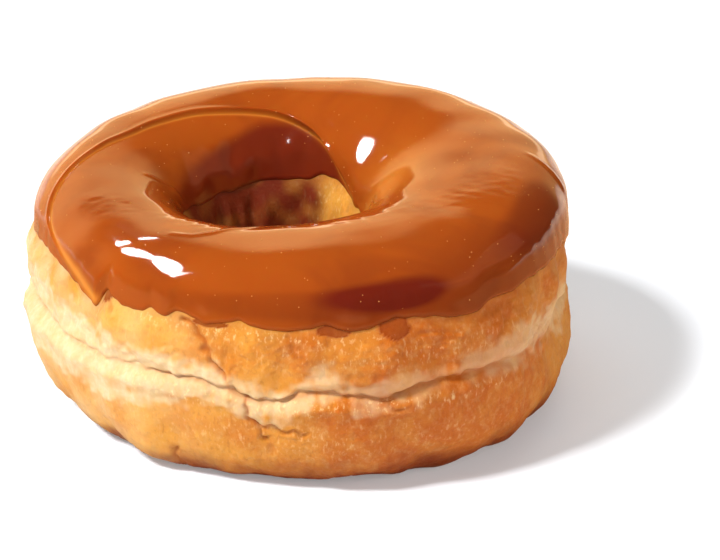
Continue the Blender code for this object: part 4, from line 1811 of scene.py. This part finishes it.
@dataclass
class Studio:
    """White floor, soft lamps and the camera."""

    elevation: float = 23.7
    distance: float = 0.5
    lens: float = 151.0
    sensor: float = 36.0
    aim_right: float = 10.26 * MM
    aim_up: float = 15.98 * MM
    floor_side: float = 6.0
    floor_colour: str = "#DDE1E6"
    floor_glow: float = 0.2
    floor_roughness: float = 0.9
    floor_sheen: float = 0.1
    # Painted shade: the floor near and in front of the doughnut, as the glaze mirrors it
    near_floor_shade: str = "#C08C5C"
    floor_far: str = "#EBC8A6"
    far_from: float = 40.0 * MM
    far_to: float = 170.0 * MM
    # Painted glow of the far floor, as the glaze mirrors it
    far_glow: float = 0.3
    card_azimuth: float = 110.0
    card_reach: float = 48.0
    card_elevation: float = 32.0
    card_side_blur: float = 0.35
    card_top_blur: float = 0.19
    card_light: float = 1.55
    card_tint: str = "#FFD08B"
    room_light: float = 0.12
    wall_light: float = 0.95
    lamps: tuple[Softbox | Glint, ...] = (
        Glint(
            "body_lamp", 153.8, 55.9, 21.0, 10.7, 6.7, 0.0014, roll=7.0, aim=(-19.1, -32.3, 34.1)
        ),
        Glint(
            "tail_lamp", 144.5, 47.7, 27.1, 6.4, 11.3, 0.0014, roll=1.0, aim=(-23.7, -28.0, 34.3)
        ),
        Glint(
            "dash_lamp", 132.5, 41.3, 21.0, 6.6, 1.8, 0.0002, roll=-31.0, aim=(-26.5, -24.6, 34.6)
        ),
        Glint(
            "line_lamp", 109.8, 39.2, 78.7, 3.0, 15.4, 0.0007, roll=-74.0, aim=(-22.3, -25.3, 35.7)
        ),
        Glint(
            "oval_lamp",
            188.7,
            54.1,
            193.8,
            15.0,
            77.0,
            0.008,
            roll=32.0,
            aim=(10.3, 12.1, 36.6),
            beam=30.0,
        ),
        Softbox("rim_lamp", 90.0, 5.5, 2.0, 2.2, 0.2, 1.5, "#FFE6C8", lighting=False),
        Softbox("veil_lamp", 355.0, 38.0, 2.0, 2.2, 0.9, 2.4, "#FFC8A0", lighting=False),
        Softbox("shadow_lamp", 209.0, 50.0, 2.2, 0.4, 0.4, 68.0, mirrored=False),
        Softbox("front_lamp", 283.0, 28.0, 2.0, 1.4, 1.0, 12.0, mirrored=False),
        Softbox("side_lamp", 345.0, 20.0, 2.0, 1.0, 0.8, 10.5, "#FFF2E2", mirrored=False),
        Softbox("roof_lamp", 100.0, 82.0, 2.0, 1.6, 1.6, 7.0, mirrored=False),
    )
    clip_near: float = 0.01
    clip_far: float = 20.0

    def floor(self) -> bpy.types.Object:
        """Lays the pale floor, which the glaze mirrors warmer than the camera sees it, with painted
        shade near and in front of the doughnut and a painted glow further back.

        Returns:
            The floor.
        """
        half = self.floor_side / 2
        mesh = bpy.data.meshes.new("floor")
        corners = [(-half, -half, 0), (half, -half, 0), (half, half, 0), (-half, half, 0)]
        mesh.from_pydata(corners, [], [(0, 1, 2, 3)])
        material, shader = start_material(
            "white_card_floor",
            {
                "Emission Color": linear("#FFFFFF"),
                "Roughness": self.floor_roughness,
                "Specular IOR Level": self.floor_sheen,
            },
        )
        tree = material.node_tree
        ray = add_node(tree, "ShaderNodeLightPath").outputs
        place = add_node(tree, "ShaderNodeTexCoord").outputs["Object"]
        away = add_node(tree, "ShaderNodeSeparateXYZ", {}, {"Vector": place}).outputs["Y"]
        far = add_node(
            tree,
            "ShaderNodeMapRange",
            {"interpolation_type": "SMOOTHSTEP"},
            {"Value": away, "From Min": self.far_from, "From Max": self.far_to},
        ).outputs["Result"]
        mirrored = add_node(
            tree,
            "ShaderNodeMix",
            {"data_type": "RGBA"},
            {0: far, 6: linear(self.near_floor_shade), 7: linear(self.floor_far)},
        ).outputs[2]
        shade = add_node(
            tree,
            "ShaderNodeMix",
            {"data_type": "RGBA"},
            {0: ray["Is Glossy Ray"], 6: linear(self.floor_colour), 7: mirrored},
        ).outputs[2]
        far_glow = add_node(
            tree, "ShaderNodeMath", {"operation": "MULTIPLY"}, {0: far, 1: self.far_glow}
        ).outputs[0]
        glow = add_node(
            tree,
            "ShaderNodeMix",
            {"data_type": "FLOAT"},
            {0: ray["Is Glossy Ray"], 2: self.floor_glow, 3: far_glow},
        ).outputs[0]
        tree.links.new(shade, shader.inputs["Base Color"])
        tree.links.new(glow, shader.inputs["Emission Strength"])
        mesh.materials.append(material)
        made = bpy.data.objects.new("floor", mesh)
        bpy.context.scene.collection.objects.link(made)
        return made

    def camera(self, form: RingForm) -> bpy.types.Object:
        """Sets up the camera at the photograph's viewing angle.

        Args:
            form: The ring, whose axis the camera's place is measured from.

        Returns:
            The camera.
        """
        data = bpy.data.cameras.new("camera")
        data.sensor_width = self.sensor
        data.lens = self.lens
        data.clip_start, data.clip_end = self.clip_near, self.clip_far
        made = bpy.data.objects.new("camera", data)
        rise = radians(self.elevation)
        back = Vector((0.0, -cos(rise), sin(rise)))
        up = Vector((0.0, sin(rise), cos(rise)))
        aim = Vector(form.axis) + Vector((self.aim_right, 0.0, 0.0)) + up * self.aim_up
        made.location = aim + back * self.distance
        made.rotation_euler = (pi / 2 - rise, 0.0, 0.0)
        bpy.context.scene.collection.objects.link(made)
        bpy.context.scene.camera = made
        return made

    def world(self) -> None:
        """Surrounds the set with dim grey, a pale card behind it and white walls.

        The glaze mirrors the card and the dim room, both tinted warm, and the camera sees only
        the white walls.
        """
        scene = bpy.context.scene
        scene.view_settings.view_transform = "Standard"
        scene.view_settings.look = "None"
        made = bpy.data.worlds.new("studio")
        made.use_nodes = True
        scene.world = made
        tree = made.node_tree
        sky = tree.nodes["Background"]
        way = add_node(tree, "ShaderNodeTexCoord").outputs["Generated"]
        towards = add_node(tree, "ShaderNodeSeparateXYZ", {}, {"Vector": way}).outputs
        turn, rise = radians(self.card_azimuth), radians(self.card_elevation)
        across = add_node(
            tree,
            "ShaderNodeVectorMath",
            {"operation": "DOT_PRODUCT"},
            {0: way, 1: (cos(turn), sin(turn), 0.0)},
        ).outputs["Value"]
        beside, below = (
            add_node(
                tree,
                "ShaderNodeMapRange",
                {"interpolation_type": "SMOOTHSTEP"},
                {
                    "Value": value,
                    "From Min": edge - blur / 2,
                    "From Max": edge + blur / 2,
                    "To Min": before,
                    "To Max": after,
                },
            ).outputs["Result"]
            for value, edge, blur, before, after in (
                (across, cos(radians(self.card_reach)), self.card_side_blur, 0.0, 1.0),
                (towards["Z"], sin(rise), self.card_top_blur, self.card_light, 0.0),
            )
        )
        card = add_node(
            tree, "ShaderNodeMath", {"operation": "MULTIPLY"}, {0: beside, 1: below}
        ).outputs[0]
        room = add_node(
            tree, "ShaderNodeMath", {"operation": "ADD"}, {0: card, 1: self.room_light}
        ).outputs[0]
        ray = add_node(tree, "ShaderNodeLightPath").outputs
        level = add_node(
            tree,
            "ShaderNodeMix",
            {"data_type": "FLOAT"},
            {0: ray["Is Camera Ray"], 2: room, 3: self.wall_light},
        ).outputs[0]
        tint = add_node(
            tree,
            "ShaderNodeMix",
            {"data_type": "RGBA"},
            {0: ray["Is Glossy Ray"], 6: linear("#FFFFFF"), 7: linear(self.card_tint)},
        ).outputs[2]
        tree.links.new(level, sky.inputs["Strength"])
        tree.links.new(tint, sky.inputs["Color"])

    def build(self, form: RingForm) -> None:
        """Builds the whole set.

        Args:
            form: The ring that the camera is aimed at.
        """
        self.world()
        self.floor()
        for lamp in self.lamps:
            lamp.build()
        self.camera(form)


def main() -> None:
    """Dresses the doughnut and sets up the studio."""
    logging.basicConfig(level=logging.INFO, format="%(name)s: %(message)s")
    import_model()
    form = RingForm()
    Studio().build(form)
    Crust(form).build(FriedCrust().build())
    coat = Icing(form).build(MapleGlaze().build())
    Froth().build(coat, GlazeFroth().build())


if __name__ == "__main__":
    main()
